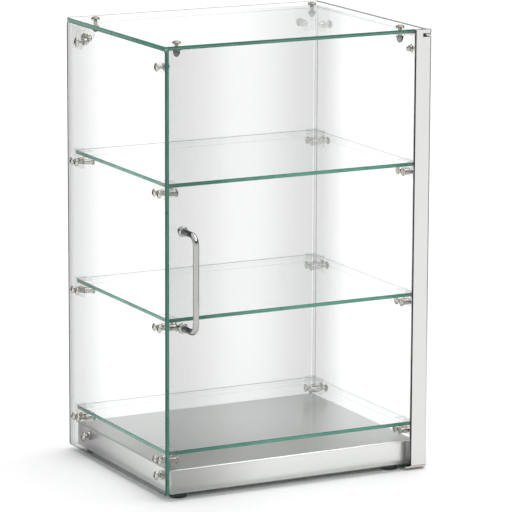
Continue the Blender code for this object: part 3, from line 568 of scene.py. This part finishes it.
def add_pane(name, outline, centres, origin, u, v, face, body, node, dark=1,
             edges=PLAIN_EDGES, covered=math.inf):
    """A glass plate: clear faces, green ground edges, a fine arris and holes at the centres.

    dark is the side of the plate, along u x v, that has the given face, with any painted shade, and
    whose arris is a painted dark line from inside; the other side is plain.
    covered is the height on the plate above which another plate hides the edge.
    """
    mesh = slab(outline, [(centre, HOLE) for centre in centres], GLASS, ARRIS, 2)
    for polygon in mesh.polygons:
        lean = abs(polygon.normal.z)
        x, y, _ = polygon.center / mm
        in_hole = any(math.hypot(x - cx, y - cy) < HOLE + ARRIS for cx, cy in centres)
        on_painted_side = dark * polygon.center.z > 0
        if lean > 0.99:
            polygon.material_index = FACE if on_painted_side else PLAIN_FACE
        elif in_hole:
            polygon.material_index = PLAIN_FACE
        elif y > covered:
            polygon.material_index = COVERED_EDGE
        elif lean < 0.3:
            polygon.material_index = EDGE
        else:
            polygon.material_index = DARK_ARRIS if on_painted_side else SOFT_ARRIS
    mesh.transform(placed(origin, u, v))
    add(name, mesh, (face, *edges, PALE_EDGE, CLEAR), body, [node])


def add_walls():
    """The two sides and the back, drilled for the clear plates, the base and the shelf clips."""
    rear = (HALF_Y + SHIFT) * mm
    # Painted reflection: each of these faces turns softly grey towards one edge.
    left_face = glass_face("glass_face_left", 0.69, "Y", rear - 0.160, rear)
    right_face = glass_face("glass_face_right", 0.66, "Y", rear - 0.110, rear)
    back_face = glass_face("glass_face_back", 0.66, "X", 0.030, 0.187)
    middle = INNER + GLASS / 2
    centres = [(y, CONNECTOR_Z) for y in CONNECTOR_Y.values()]
    centres += [(y, BASE_BOLT_Z) for y in BASE_BOLT_Y.values()]
    for top in SHELVES.values():
        for end, _ in ENDS:
            centres += [(end * (SHELF_END - a), top - GLASS - CLIP_DROP) for a in CLIP_BOLTS]
    outline = rounded((-HALF_Y, BOTTOM), (HALF_Y, UNDER_TOP), 3.5)
    add_pane("pane_left", outline, centres, (-middle, 0, 0), Y, Z, left_face, "case",
             "left_glass", -1, LEFT_EDGES)
    add_pane("pane_right", outline, centres, (middle, 0, 0), Y, Z, right_face, "case",
             "right_glass", 1, RIGHT_EDGES, UNDER_TOP - 1.0)
    centres = [(side * CONNECTOR_X, CONNECTOR_Z) for side, _ in SIDES]
    centres += [(side * BACK_BASE_X, BASE_BOLT_Z) for side, _ in SIDES]
    outline = rounded((-INNER + GAP, BOTTOM), (INNER - GAP, UNDER_TOP), 1.5)
    add_pane("pane_back", outline, centres, (0, HALF_Y - GLASS / 2, 0), X, Z, back_face, "case",
             "back_glass", -1, (PALE_EDGE,) * 3)


def add_level_panes():
    centres = [(side * CONNECTOR_X, y) for side, _ in SIDES for y in CONNECTOR_Y.values()]
    outline = rounded((-HALF_X, -HALF_Y), (HALF_X, HALF_Y), 2.5)
    add_pane("pane_top", outline, centres, (0, 0, TOP - GLASS / 2), X, Y, CLEAR, "case",
             "top_glass", 1, TOP_EDGES)
    outline = rounded((-SHELF_X, -SHELF_END), (SHELF_X, SHELF_END), 3.0)
    for level, top in SHELVES.items():
        add_pane("pane_shelf_" + level, outline, [], (0, 0, top - GLASS / 2), X, Y, CLEAR, "case",
                 "shelf_" + level, 1, SHELF_EDGES)


def add_door_pane():
    # Painted reflection: the door's face turns softly grey towards its left edge.
    face = glass_face("glass_face_door", 0.66, "X", -0.030, -0.191)
    centres = [(HANDLE_X, z) for z in (HANDLE_LOW, HANDLE_HIGH)]
    outline = rounded((-191.0, 7.0), (180.0, 597.6), 2.5)
    add_pane("pane_door", outline, centres, (0, (DOOR_FRONT + DOOR_BACK) / 2, 0), X, Z, face,
             "door", "door_glass")


# ---------------------------------------------------------------- base

def add_tray():
    """The folded tray: a deck, four walls and a lip under them, with drilled holes."""
    wall_x, front, back, high, lip = 183.8, -149.75, 143.05, 39.0, 32.0
    mesh = block((-wall_x, front, BOTTOM), (wall_x, back, high))
    shape = opened(mesh)
    under = min(shape.faces, key=lambda face: face.calc_center_median().z)
    bmesh.ops.inset_region(shape, faces=[under], thickness=lip * mm)
    bmesh.ops.delete(shape, geom=[under], context="FACES")
    sheet = linked("working", written(shape, mesh))
    add_bevel(sheet, 2.0, 5)
    thick = sheet.modifiers.new("sheet", "SOLIDIFY")
    thick.thickness = SHEET * mm
    thick.offset = -1.0
    tray = evaluated(sheet)
    holes = [rod((x, y, BOTTOM - 2.0), Z, 6.0) for x, y in (*FEET.values(), *LEAF_SCREWS)]
    for side, _ in SIDES:
        for y in BASE_BOLT_Y.values():
            holes.append(rod((side * (wall_x - 4.0), y, BASE_BOLT_Z), (side, 0, 0), 8.0))
        holes.append(rod((side * BACK_BASE_X, back - 4.0, BASE_BOLT_Z), Y, 8.0))
    add("tray", smooth(combined(tray, holes), 20.0), (STEEL_X,), "case", ["base_tray"])


def add_feet():
    """Rubber feet: a ribbed cup with a hollow sole and a stud."""
    profile = [(0.0, 12.5), (2.2, 12.5), (2.5, 12.0), (2.5, 5.7), (10.0, 5.7), (11.2, 5.0),
               (11.4, 4.4), (10.9, 4.0), (11.5, 3.6), (12.0, 2.0), (11.9, 1.0), (11.2, 0.2),
               (10.4, 0.0), (8.0, 0.0), (7.4, 0.9), (0.0, 0.9)]
    mesh = turned(profile, 48)
    for name, (x, y) in FEET.items():
        add("rubber_foot_" + name, mesh, (RUBBER,), "case", ["foot_" + name],
            moved(x, y, 0))


# ---------------------------------------------------------------- fasteners

def paint_socket_shadow(mesh, reach, low):
    """Give the walls and the floor of a head's socket the second material, a painted shadow."""
    floor = 1.2
    for polygon in mesh.polygons:
        x, y, z = polygon.center / mm
        inside = math.hypot(x, y) < reach and z > low
        if inside and (abs(polygon.normal.z) < 0.2 or z < floor):
            polygon.material_index = 1
    return mesh


def bolt_head(radius):
    """A button head with a hexagon socket; its seat is at height 0."""
    height, rim = 3.3, 0.5
    dome = [(radius * math.cos(t), rim + (height - rim) * math.sin(t))
            for t in map(math.radians, (0, 12, 24, 36, 48, 60, 66))]
    body = turned([(0.0, 0.0), (radius - 0.3, 0.0), (radius, 0.25)] + dome + [(0.0, height)], 48)
    return paint_socket_shadow(combined(body, [hexagon(2.0, 0.9, height + 1.0)]), 2.2, 0.8)


def shank(end):
    """A bolt's shank from just inside its head."""
    start, radius = 0.1, 2.4
    return turned([(0.0, start), (radius, start), (radius, end), (0.0, end)], 24)


def dome_nut(grip, height):
    """A flanged dome nut on the bolt's far side, its seat at a depth below the head's."""
    flange, dome_radius = 5.2, 3.7
    foot = -grip - height * 0.55
    base = turned([(0.0, -grip), (flange - 0.3, -grip), (flange, -grip - 0.3),
                   (flange, -grip - 1.0), (flange - 0.5, -grip - 1.4), (0.0, -grip - 1.4)])
    body = softened(hexagon(4.6, foot, -grip - 1.3), 0.25)
    dome = [(dome_radius * math.cos(t), foot - height * 0.45 * math.sin(t))
            for t in map(math.radians, (0, 15, 30, 45, 60, 75))]
    cap = turned([(0.0, foot + 0.1), (dome_radius, foot + 0.1)] + dome
                 + [(0.0, foot - height * 0.45)])
    return [base, body, cap]


def bolt(grip, nut_height=9.0, others=()):
    parts = [bolt_head(5.9), shank(-grip - 1.0), *dome_nut(grip, nut_height), *others]
    return smooth(merged(parts), 32.0)


def barrel_bolt():
    """A shelf bolt: button head outside, long barrel nut with a flanged end inside."""
    barrel = turned([(0.0, -9.7), (3.5, -9.7), (3.8, -10.0), (3.8, -22.6), (4.2, -23.0),
                     (5.2, -23.3), (5.5, -23.7), (5.5, -24.4), (5.0, -24.9), (3.0, -25.4),
                     (0.0, -25.5)])
    return smooth(merged([bolt_head(5.3), shank(-10.0), barrel]), 32.0)


def set_bolt(name, mesh, seat, outward, nodes=(), steel=POLISHED):
    add(name, mesh, (steel, SOCKET_SHADOW), "case", nodes,
        moved(*seat) @ turn_to(outward))


def add_connector_bolts():
    """Bolts through the clear plates; one through the roof also holds the hinge's upper plate."""
    grip = GLASS + PLATE + 0.9
    plain, roof, roof_over = bolt(grip), bolt(grip), bolt(grip + LEAF + GAP)
    for side, side_name in SIDES:
        for end_name, y in CONNECTOR_Y.items():
            tag = f"{end_name}_{side_name}"
            # The roof's screws get the darker steel as painted shade.
            set_bolt("roof_screw_" + tag, roof_over if tag == "front_right" else roof,
                     (side * CONNECTOR_X, y, TOP + GAP), Z, ["top_bolt_" + tag], POLISHED_PAINTED_SHADE)
            set_bolt("wall_screw_" + tag, plain, (side * (HALF_X + GAP), y, CONNECTOR_Z),
                     (side, 0, 0), ["side_bolt_" + tag])
        set_bolt("rear_screw_" + side_name, plain, (side * CONNECTOR_X, HALF_Y + GAP, CONNECTOR_Z),
                 Y, ["back_bolt_" + side_name])


def add_base_bolts(side, side_name, mesh):
    for end_name, y in BASE_BOLT_Y.items():
        tag = f"{end_name}_{side_name}"
        set_bolt("base_screw_" + tag, mesh, (side * (HALF_X + GAP), y, BASE_BOLT_Z),
                 (side, 0, 0), ["base_bolt_" + tag])
    set_bolt("base_screw_back_" + side_name, mesh,
             (side * BACK_BASE_X, HALF_Y + GAP, BASE_BOLT_Z), Y)


def add_shelf_bolts(side, side_name, mesh):
    for level, top in SHELVES.items():
        for end, end_name in ENDS:
            for number, along in enumerate(CLIP_BOLTS, 1):
                seat = (side * (HALF_X + GAP), end * (SHELF_END - along), top - GLASS - CLIP_DROP)
                set_bolt(f"shelf_screw_{level}_{end_name}_{side_name}_{number}", mesh, seat,
                         (side, 0, 0))


def add_wall_bolts():
    """Bolts through the glass walls, into the tray over a spacer ring and into the clips."""
    ring = turned([(2.6, -8.7), (6.0, -8.7), (6.0, -5.6), (2.6, -5.6)], closed=True)
    base = bolt(GLASS + 3.7 + SHEET + 2 * GAP, 5.0, [ring])
    barrel = barrel_bolt()
    for side, side_name in SIDES:
        add_base_bolts(side, side_name, base)
        add_shelf_bolts(side, side_name, barrel)


# ---------------------------------------------------------------- clear clips and connectors

def add_clear(name, mesh, node, place=None):
    add(name, mesh, (PLASTIC, PLASTIC_RIM_SHADE), "case", [node], place)


def clip(side, end):
    """A pocket round a shelf corner over a web bolted to the side glass; 0 is under the shelf."""
    def corner(reach, along, height):
        return side * (INNER - GAP - reach), end * (SHELF_END + GAP - along), height

    body = block(corner(0.0, -1.5, -2.8), corner(16.0, 26.0, 6.8))
    web = block(corner(0.0, 0.0, -17.0), corner(4.0, 26.0, -GAP))
    pocket = block(corner(1.9, 0.0, -GAP), corner(32.0, 52.0, GLASS + GAP))
    holes = [rod((side * (INNER + 5.0), end * (SHELF_END - along), -CLIP_DROP), (-side, 0, 0), 20.0)
             for along in CLIP_BOLTS]
    return moulded(combined(combined(body, [web], "UNION"), [pocket] + holes), 0.5, 3)


def add_clips():
    for side, side_name in SIDES:
        for end, end_name in ENDS:
            mesh = clip(side, end)
            for level, top in SHELVES.items():
                tag = f"{level}_{end_name}_{side_name}"
                add_clear("clear_clip_" + tag, mesh, "clip_" + tag,
                          Matrix.Translation((0, 0, (top - GLASS) * mm)))


def add_front_connectors():
    """Clear angles with round pads; the right one sits under the hinge's upper plate."""
    face, y, half, pad = INNER - GAP, CONNECTOR_Y["front"], 6.0, 8.0
    for side, side_name in SIDES:
        top = UNDER_TOP - (LEAF + GAP if side > 0 else 0.0)
        leg = block((side * (face - PLATE), y - half, CONNECTOR_Z), (side * face, y + half, top))
        arm = block((side * CONNECTOR_X, y - half, top - PLATE), (side * face, y + half, top))
        pads = [rod((side * face, y, CONNECTOR_Z), (-side, 0, 0), PLATE, pad),
                rod((side * CONNECTOR_X, y, top - PLATE), Z, PLATE, pad)]
        holes = [rod((side * (face + 5.0), y, CONNECTOR_Z), (-side, 0, 0), 20.0),
                 rod((side * CONNECTOR_X, y, top - 6.0), Z, 9.0)]
        mesh = moulded(combined(combined(leg, [arm] + pads, "UNION"), holes))
        add_clear("clear_strap_" + side_name, mesh, "connector_front_" + side_name)


def corner_plate(origin, a, b, across, reach_a, reach_b):
    """A flat plate from an origin along axes a and b, with its far corner cut."""
    cut = 13.2
    outline = [(0, 0), (reach_a, 0), (reach_a, reach_b - cut), (reach_a - cut, reach_b),
               (0, reach_b)]
    a, b, across = Vector(a), Vector(b), Vector(across)
    shape = opened()
    rings = [[shape.verts.new(at(*origin) + (a * p + b * q + across * depth) * mm)
              for p, q in outline] for depth in (0.0, PLATE)]
    for ring in rings:
        shape.faces.new(ring)
    bridge(shape, *rings)
    return new_mesh("plate", shape, outwards=True)


def add_rear_connectors():
    """Three clear plates that meet in the rear top corner."""
    face_x, face_y, y = INNER - GAP, HALF_Y - GLASS - GAP, CONNECTOR_Y["rear"]
    edge = 11.0                  # from a bolt to the plate's edge
    reach_x, reach_y = face_x - CONNECTOR_X + edge, face_y - y + edge
    reach_z = UNDER_TOP - CONNECTOR_Z + edge
    forwards, down = (0, -1, 0), (0, 0, -1)
    for side, side_name in SIDES:
        corner, inwards = (side * face_x, face_y, UNDER_TOP), (-side, 0, 0)
        plates = [corner_plate(corner, inwards, forwards, down, reach_x, reach_y),
                  corner_plate(corner, forwards, down, inwards, reach_y, reach_z),
                  corner_plate(corner, inwards, down, forwards, reach_x, reach_z)]
        holes = [rod((side * (face_x + 5), y, CONNECTOR_Z), inwards, 20.0),
                 rod((side * CONNECTOR_X, face_y + 5, CONNECTOR_Z), forwards, 20.0),
                 rod((side * CONNECTOR_X, y, UNDER_TOP + 5), down, 20.0)]
        mesh = moulded(combined(combined(plates[0], plates[1:], "UNION"), holes))
        add_clear("clear_corner_" + side_name, mesh, "connector_rear_" + side_name)


# ---------------------------------------------------------------- hinge

def add_hinge_plates():
    """The upper plate is held by a roof bolt, the lower one by two screws from below."""
    px, py = PIVOT
    y = CONNECTOR_Y["front"]
    around = 9.0                 # from the bolt to the plate's edges
    outline = [(CONNECTOR_X - around, y - around), (px - around, -HALF_Y - 0.45)]
    outline += arc(PIVOT, 4.6, 195.0, 460.0, 28)
    wall = INNER - 2 * GAP
    outline += [(wall, -HALF_Y), (wall, y + around), (CONNECTOR_X - around, y + around)]
    holes = [(PIVOT, PIN_HOLE), ((CONNECTOR_X, y), HOLE)]
    add("hinge_leaf_top", smooth(slab(outline, holes, LEAF, 0.25, 2), 30.0), (POLISHED,), "case",
        ["hinge_plate_top"], moved(0, 0, UNDER_TOP - LEAF / 2))
    outline = [(163.0, -118.0), (163.0, -161.0), (164.0, -162.0)]
    outline += arc(PIVOT, STILE_ROUND, 270.0, 360.0, 10)
    outline.append((196.1, -118.0))
    holes = [(PIVOT, PIN_HOLE)] + [(screw, HOLE) for screw in LEAF_SCREWS]
    add("hinge_leaf_bottom", smooth(slab(outline, holes, LEAF, 0.25, 2), 30.0), (POLISHED,), "case",
        ["hinge_plate_bottom"], moved(0, 0, BOTTOM - GAP - LEAF / 2))


def add_hinge_screws():
    """Two countersunk screws with nuts, the pin below and the set screw above."""
    px, py = PIVOT
    head = turned([(0.0, 0.0), (5.2, 0.0), (5.2, -0.4), (4.4, -1.4), (3.4, -2.2), (0.0, -2.2)])
    head = combined(head, [hexagon(1.8, -3.0, -1.0)])
    nut = softened(hexagon(4.2, 4.6, 8.6), 0.25)
    screw = smooth(merged([head, shank(4.8), nut]), 32.0)
    for number, (x, y) in enumerate(LEAF_SCREWS, 1):
        add(f"leaf_screw_{number}", screw, (POLISHED, SOCKET_SHADOW), "case",
            [f"hinge_plate_screw_{number}"], moved(x, y, 2.9))
    pin = turned([(0.0, 23.0), (1.25, 23.0), (1.75, 22.0), (1.75, 2.9), (3.4, 2.9), (3.5, 2.7),
                  (3.2, 1.9), (2.6, 1.7), (0.0, 1.7)], 32)
    add("hinge_pin", pin, (POLISHED,), "case", ["pivot_pin_bottom"],
        moved(px, py, 0))
    socket_floor, socket_radius = 597.3, 1.05
    screw = turned([(0.0, socket_floor), (socket_radius, socket_floor), (socket_radius, 599.6),
                    (1.2, 599.8), (1.6, 599.8), (1.75, 599.6), (1.75, 573.3), (0.0, 573.3)], 32)
    # The socket gets the second material, a painted shadow.
    for polygon in screw.polygons:
        x, y, z = polygon.center / mm
        if z > socket_floor - 0.3 and math.hypot(x, y) < socket_radius + 0.05:
            polygon.material_index = 1
    add("hinge_screw", screw, (POLISHED, SOCKET_SHADOW), "door", ["pivot_screw_top"],
        moved(px, py, 0))


# ---------------------------------------------------------------- stile

STILE_LEFT, STILE_FRONT, STILE_BACK = 171.0, -162.0, -152.1


def stile_section():
    """The stile's wall as a closed outline: out round one face and back along the other."""
    left, front, back = STILE_LEFT, STILE_FRONT, STILE_BACK
    rear_end = left + 3.2
    outside = [(left, front + 3.0)] + arc((left + 1.0, front + 1.0), 1.0, 180, 270, 5)
    outside += arc(PIVOT, STILE_ROUND, 270.0, 450.0, 28) + [(rear_end, back)]
    inside = [(rear_end, back - SHEET)] + arc(PIVOT, STILE_ROUND - SHEET, 450.0, 270.0, 28)
    inside += [(left + SHEET, front + SHEET), (left + SHEET, front + 3.0)]
    return outside + inside


def add_stile():
    """The steel stile: its left return is painted in shade with near-black steel, and its rear leg
    shows the glass's tape.
    """
    mesh = slab(stile_section(), [], TOP - BOTTOM, 0.1)
    mesh.transform(moved(0, 0, (BOTTOM + TOP) / 2))
    slot_for_plate = block((181.5, -170.0, 590.3), (204.0, -145.0, 595.4))
    mesh = combined(mesh, [slot_for_plate])
    for polygon in mesh.polygons:
        x, y = polygon.center.x / mm, polygon.center.y / mm - SHIFT
        # The left return's faces get the near-black steel as painted shade.
        if polygon.normal.x < -0.35 and x < STILE_LEFT + SHEET and y < STILE_FRONT + 4.0:
            polygon.material_index = 1
        if polygon.normal.y < -0.9 and abs(y - STILE_BACK + SHEET) < 0.7:
            polygon.material_index = 2
    add("stile", smooth(mesh, 25.0), (STEEL_Z, STEEL_PAINTED_SHADE, TAPE), "door", ["door_stile"])
    strip = softened(block((172.5, -160.5, 7.0), (180.0, -158.9, 587.6)), 0.2)
    add("bond_strip", smooth(strip), (GASKET,), "door", ["stile_gasket"])


def add_stile_fillings():
    """The cap and the two bushes that fill the stile's round edge."""
    px, py = PIVOT
    radius = STILE_ROUND - SHEET - GAP
    outline = arc(PIVOT, radius, -90.0, 90.0, 20) + [(px - 9, py + radius), (px - 9, py - radius)]
    for name, node, low, high, material, slot in (
            ("stile_cap", "stile_cap_top", 595.7, TOP, SATIN, "polished_steel"),
            ("pivot_bush_top", "pivot_block_top", 570.0, 590.0, NYLON, "nylon"),
            ("pivot_bush_bottom", "pivot_block_bottom", 6.3, 26.3, NYLON, "nylon")):
        mesh = smooth(slab(outline, [(PIVOT, PIN_HOLE)], high - low, 0.2, 2), 30.0)
        add(name, mesh, (material,), "door", [node], moved(0, 0, (low + high) / 2))


# ---------------------------------------------------------------- handle

def bent_bar(route, radius):
    """A round bar along a route of (y, z) points in the handle's plane."""
    steps = 32
    points = [Vector(place) for place in route]
    shape = opened()
    rings = []
    for i, point in enumerate(points):
        before, after = points[max(i - 1, 0)], points[min(i + 1, len(points) - 1)]
        along = (after - before).normalized()
        normal = Vector((-along.y, along.x))
        ring = []
        for k in range(steps):
            turn = 2 * math.pi * k / steps
            flat = point + normal * radius * math.cos(turn)
            ring.append(shape.verts.new(at(HANDLE_X + radius * math.sin(turn), *flat)))
        rings.append(ring)
    for first, second in zip(rings, rings[1:]):
        bridge(shape, first, second)
    for ring in (rings[0], rings[-1]):
        shape.faces.new(ring)
    return new_mesh("bar", shape, outwards=True)


def add_handle():
    """A bent round bar with a screw's hole in each end, and its collars and screws."""
    start, out, bend = DOOR_FRONT - GAP, DOOR_FRONT - 39.5, 13.0
    route = [(start, HANDLE_LOW)]
    route += arc((out + bend, HANDLE_LOW + bend), bend, 270.0, 180.0, 14)
    route += arc((out + bend, HANDLE_HIGH - bend), bend, 180.0, 90.0, 14)
    route.append((start, HANDLE_HIGH))
    holes = [rod((HANDLE_X, DOOR_BACK, z), (0, -1, 0), 17.0, 2.3, 24)
             for z in (HANDLE_LOW, HANDLE_HIGH)]
    add("handle_bar", smooth(combined(bent_bar(route, 3.98), holes)), (SATIN,), "door", ["handle"])
    collar = turned([(4.3, 0.0), (7.0, 0.0), (7.0, 1.8), (6.7, 2.6), (6.2, 3.3), (5.4, 3.8),
                     (4.3, 4.0)], 48, closed=True)
    screw = turned([(0.0, 2.6), (2.2, 2.5), (3.4, 2.0), (4.2, 1.0), (4.4, 0.2), (4.4, 0.0),
                    (2.0, 0.0), (2.0, -15.3), (0.0, -15.3)])
    screw = smooth(paint_socket_shadow(combined(screw, [hexagon(1.7, 1.2, 3.5)]), 1.8, 0.9), 32.0)
    for z, end_name in ((HANDLE_LOW, "bottom"), (HANDLE_HIGH, "top")):
        add("bar_collar_" + end_name, collar, (SATIN,), "door", ["handle_collar_" + end_name],
            moved(HANDLE_X, DOOR_FRONT - GAP, z) @ turn_to((0, -1, 0)))
        add("bar_screw_" + end_name, screw, (POLISHED, SOCKET_SHADOW), "door",
            ["handle_screw_" + end_name],
            moved(HANDLE_X, DOOR_BACK + GAP, z) @ turn_to(Y))


# ---------------------------------------------------------------- stage

# What reflections see of the room, from the floor (0) over the horizon (0.5) to overhead (1).
REFLECTED_ROOM = ((0.27, 0.98), (0.33, 0.14), (0.66, 0.14), (0.70, 3.0), (0.80, 3.0),
                  (0.84, 0.14), (1.0, 0.5))
ROOM_STRENGTH, MATT_STRENGTH = 1.12, 0.91
CAMERA_PLACE = (-2197.863, -4277.115, 1285.595)
CAMERA_AZIMUTH, CAMERA_ELEVATION, CAMERA_ROLL = -27.389, 11.793, 0.223
CAMERA_LENS = 255.10


def sheet_mesh(name, width, height):
    shape = opened()
    bmesh.ops.create_grid(shape, x_segments=1, y_segments=1, size=0.5)
    bmesh.ops.scale(shape, vec=(width, height, 1.0), verts=shape.verts)
    return new_mesh(name, shape)


def add_floor():
    material, _, shader = new_material("floor_white")
    shader.inputs["Base Color"].default_value = (0.94, 0.94, 0.94, 1.0)
    shader.inputs["Roughness"].default_value = 0.9
    shader.inputs["Specular IOR Level"].default_value = 0.0
    floor = linked("floor", sheet_mesh("floor", 24.0, 24.0))
    floor.data.materials.append(material)


def add_card(name, place, width, height):
    """A dark card facing the case, that only reflections see, for contrast in the metal."""
    card = linked(name, sheet_mesh(name, width, height))
    card.data.materials.append(CARD)
    card.location = place
    towards = Vector((0.0, 0.0, 0.4)) - Vector(place)
    card.rotation_euler = towards.to_track_quat("Z", "Y").to_euler()
    card.visible_camera = False
    card.visible_diffuse = False
    card.visible_shadow = False


def add_sun(towards, width, strength):
    """One wide soft key light from a direction."""
    data = bpy.data.lights.new("key", "SUN")
    data.angle = math.radians(width)
    data.energy = strength
    lamp = linked("key", data)
    lamp.rotation_euler = Vector(towards).to_track_quat("Z", "Y").to_euler()


def background(tree, colour, strength):
    node = tree.nodes.new("ShaderNodeBackground")
    feed(tree, colour, node.inputs["Color"])
    node.inputs["Strength"].default_value = strength
    return node


def add_room():
    """A white room that is a little dimmer to matt surfaces and banded to reflections."""
    world = bpy.data.worlds.new("studio")
    bpy.context.scene.world = world
    world.use_nodes = True
    tree = world.node_tree
    tree.nodes.remove(tree.nodes["Background"])
    ramp = tree.nodes.new("ShaderNodeValToRGB")
    stops = ramp.color_ramp.elements
    stops[0].position = REFLECTED_ROOM[0][0]
    for position, _ in REFLECTED_ROOM[1:-1]:
        stops.new(position)
    for stop, (_, value) in zip(stops, REFLECTED_ROOM):
        stop.color = (value, value, value, 1.0)
    tree.links.new(axes(tree, "Generated")["Z"], ramp.inputs["Fac"])
    seen = background(tree, (1.0, 1.0, 1.0), ROOM_STRENGTH)
    matt = background(tree, (0.8, 0.8, 0.8), MATT_STRENGTH)
    mirrored = background(tree, ramp.outputs["Color"], 1.0)
    path = tree.nodes.new("ShaderNodeLightPath").outputs
    room = mixed_shaders(tree, path["Is Glossy Ray"], seen, mirrored)
    room = mixed_shaders(tree, path["Is Diffuse Ray"], room, matt)
    tree.links.new(room.outputs[0], tree.nodes["World Output"].inputs["Surface"])


def add_light():
    add_room()
    add_sun((0.35, 0.10, 1.0), 60.0, 1.45)
    add_card("card_right", (0.90, -0.10, 0.5), 0.55, 1.4)
    add_card("card_left", (-0.70, 0.62, 0.5), 0.28, 1.4)


def add_camera():
    azimuth, elevation, roll = map(math.radians, (CAMERA_AZIMUTH, CAMERA_ELEVATION, CAMERA_ROLL))
    back = Vector((math.sin(azimuth) * math.cos(elevation),
                   -math.cos(azimuth) * math.cos(elevation), math.sin(elevation)))
    right = (-back).cross(Vector(Z)).normalized()
    up = back.cross(right)
    turned_right = right * math.cos(roll) + up * math.sin(roll)
    turned_up = -right * math.sin(roll) + up * math.cos(roll)
    data = bpy.data.cameras.new("camera")
    data.sensor_width = 36.0
    data.lens = CAMERA_LENS
    data.clip_start, data.clip_end = 0.1, 60.0
    camera = linked("camera", data)
    matrix = Matrix((turned_right, turned_up, back)).transposed().to_4x4()
    camera.matrix_world = moved(*CAMERA_PLACE) @ matrix
    bpy.context.scene.camera = camera


add_walls()
add_level_panes()
add_door_pane()
add_tray()
add_feet()
add_connector_bolts()
add_wall_bolts()
add_clips()
add_front_connectors()
add_rear_connectors()
add_hinge_plates()
add_hinge_screws()
add_stile()
add_stile_fillings()
add_handle()
add_floor()
add_light()
add_camera()
scene = bpy.context.scene
scene.view_settings.view_transform = "Standard"
scene.cycles.max_bounces = 24
scene.cycles.transparent_max_bounces = 64
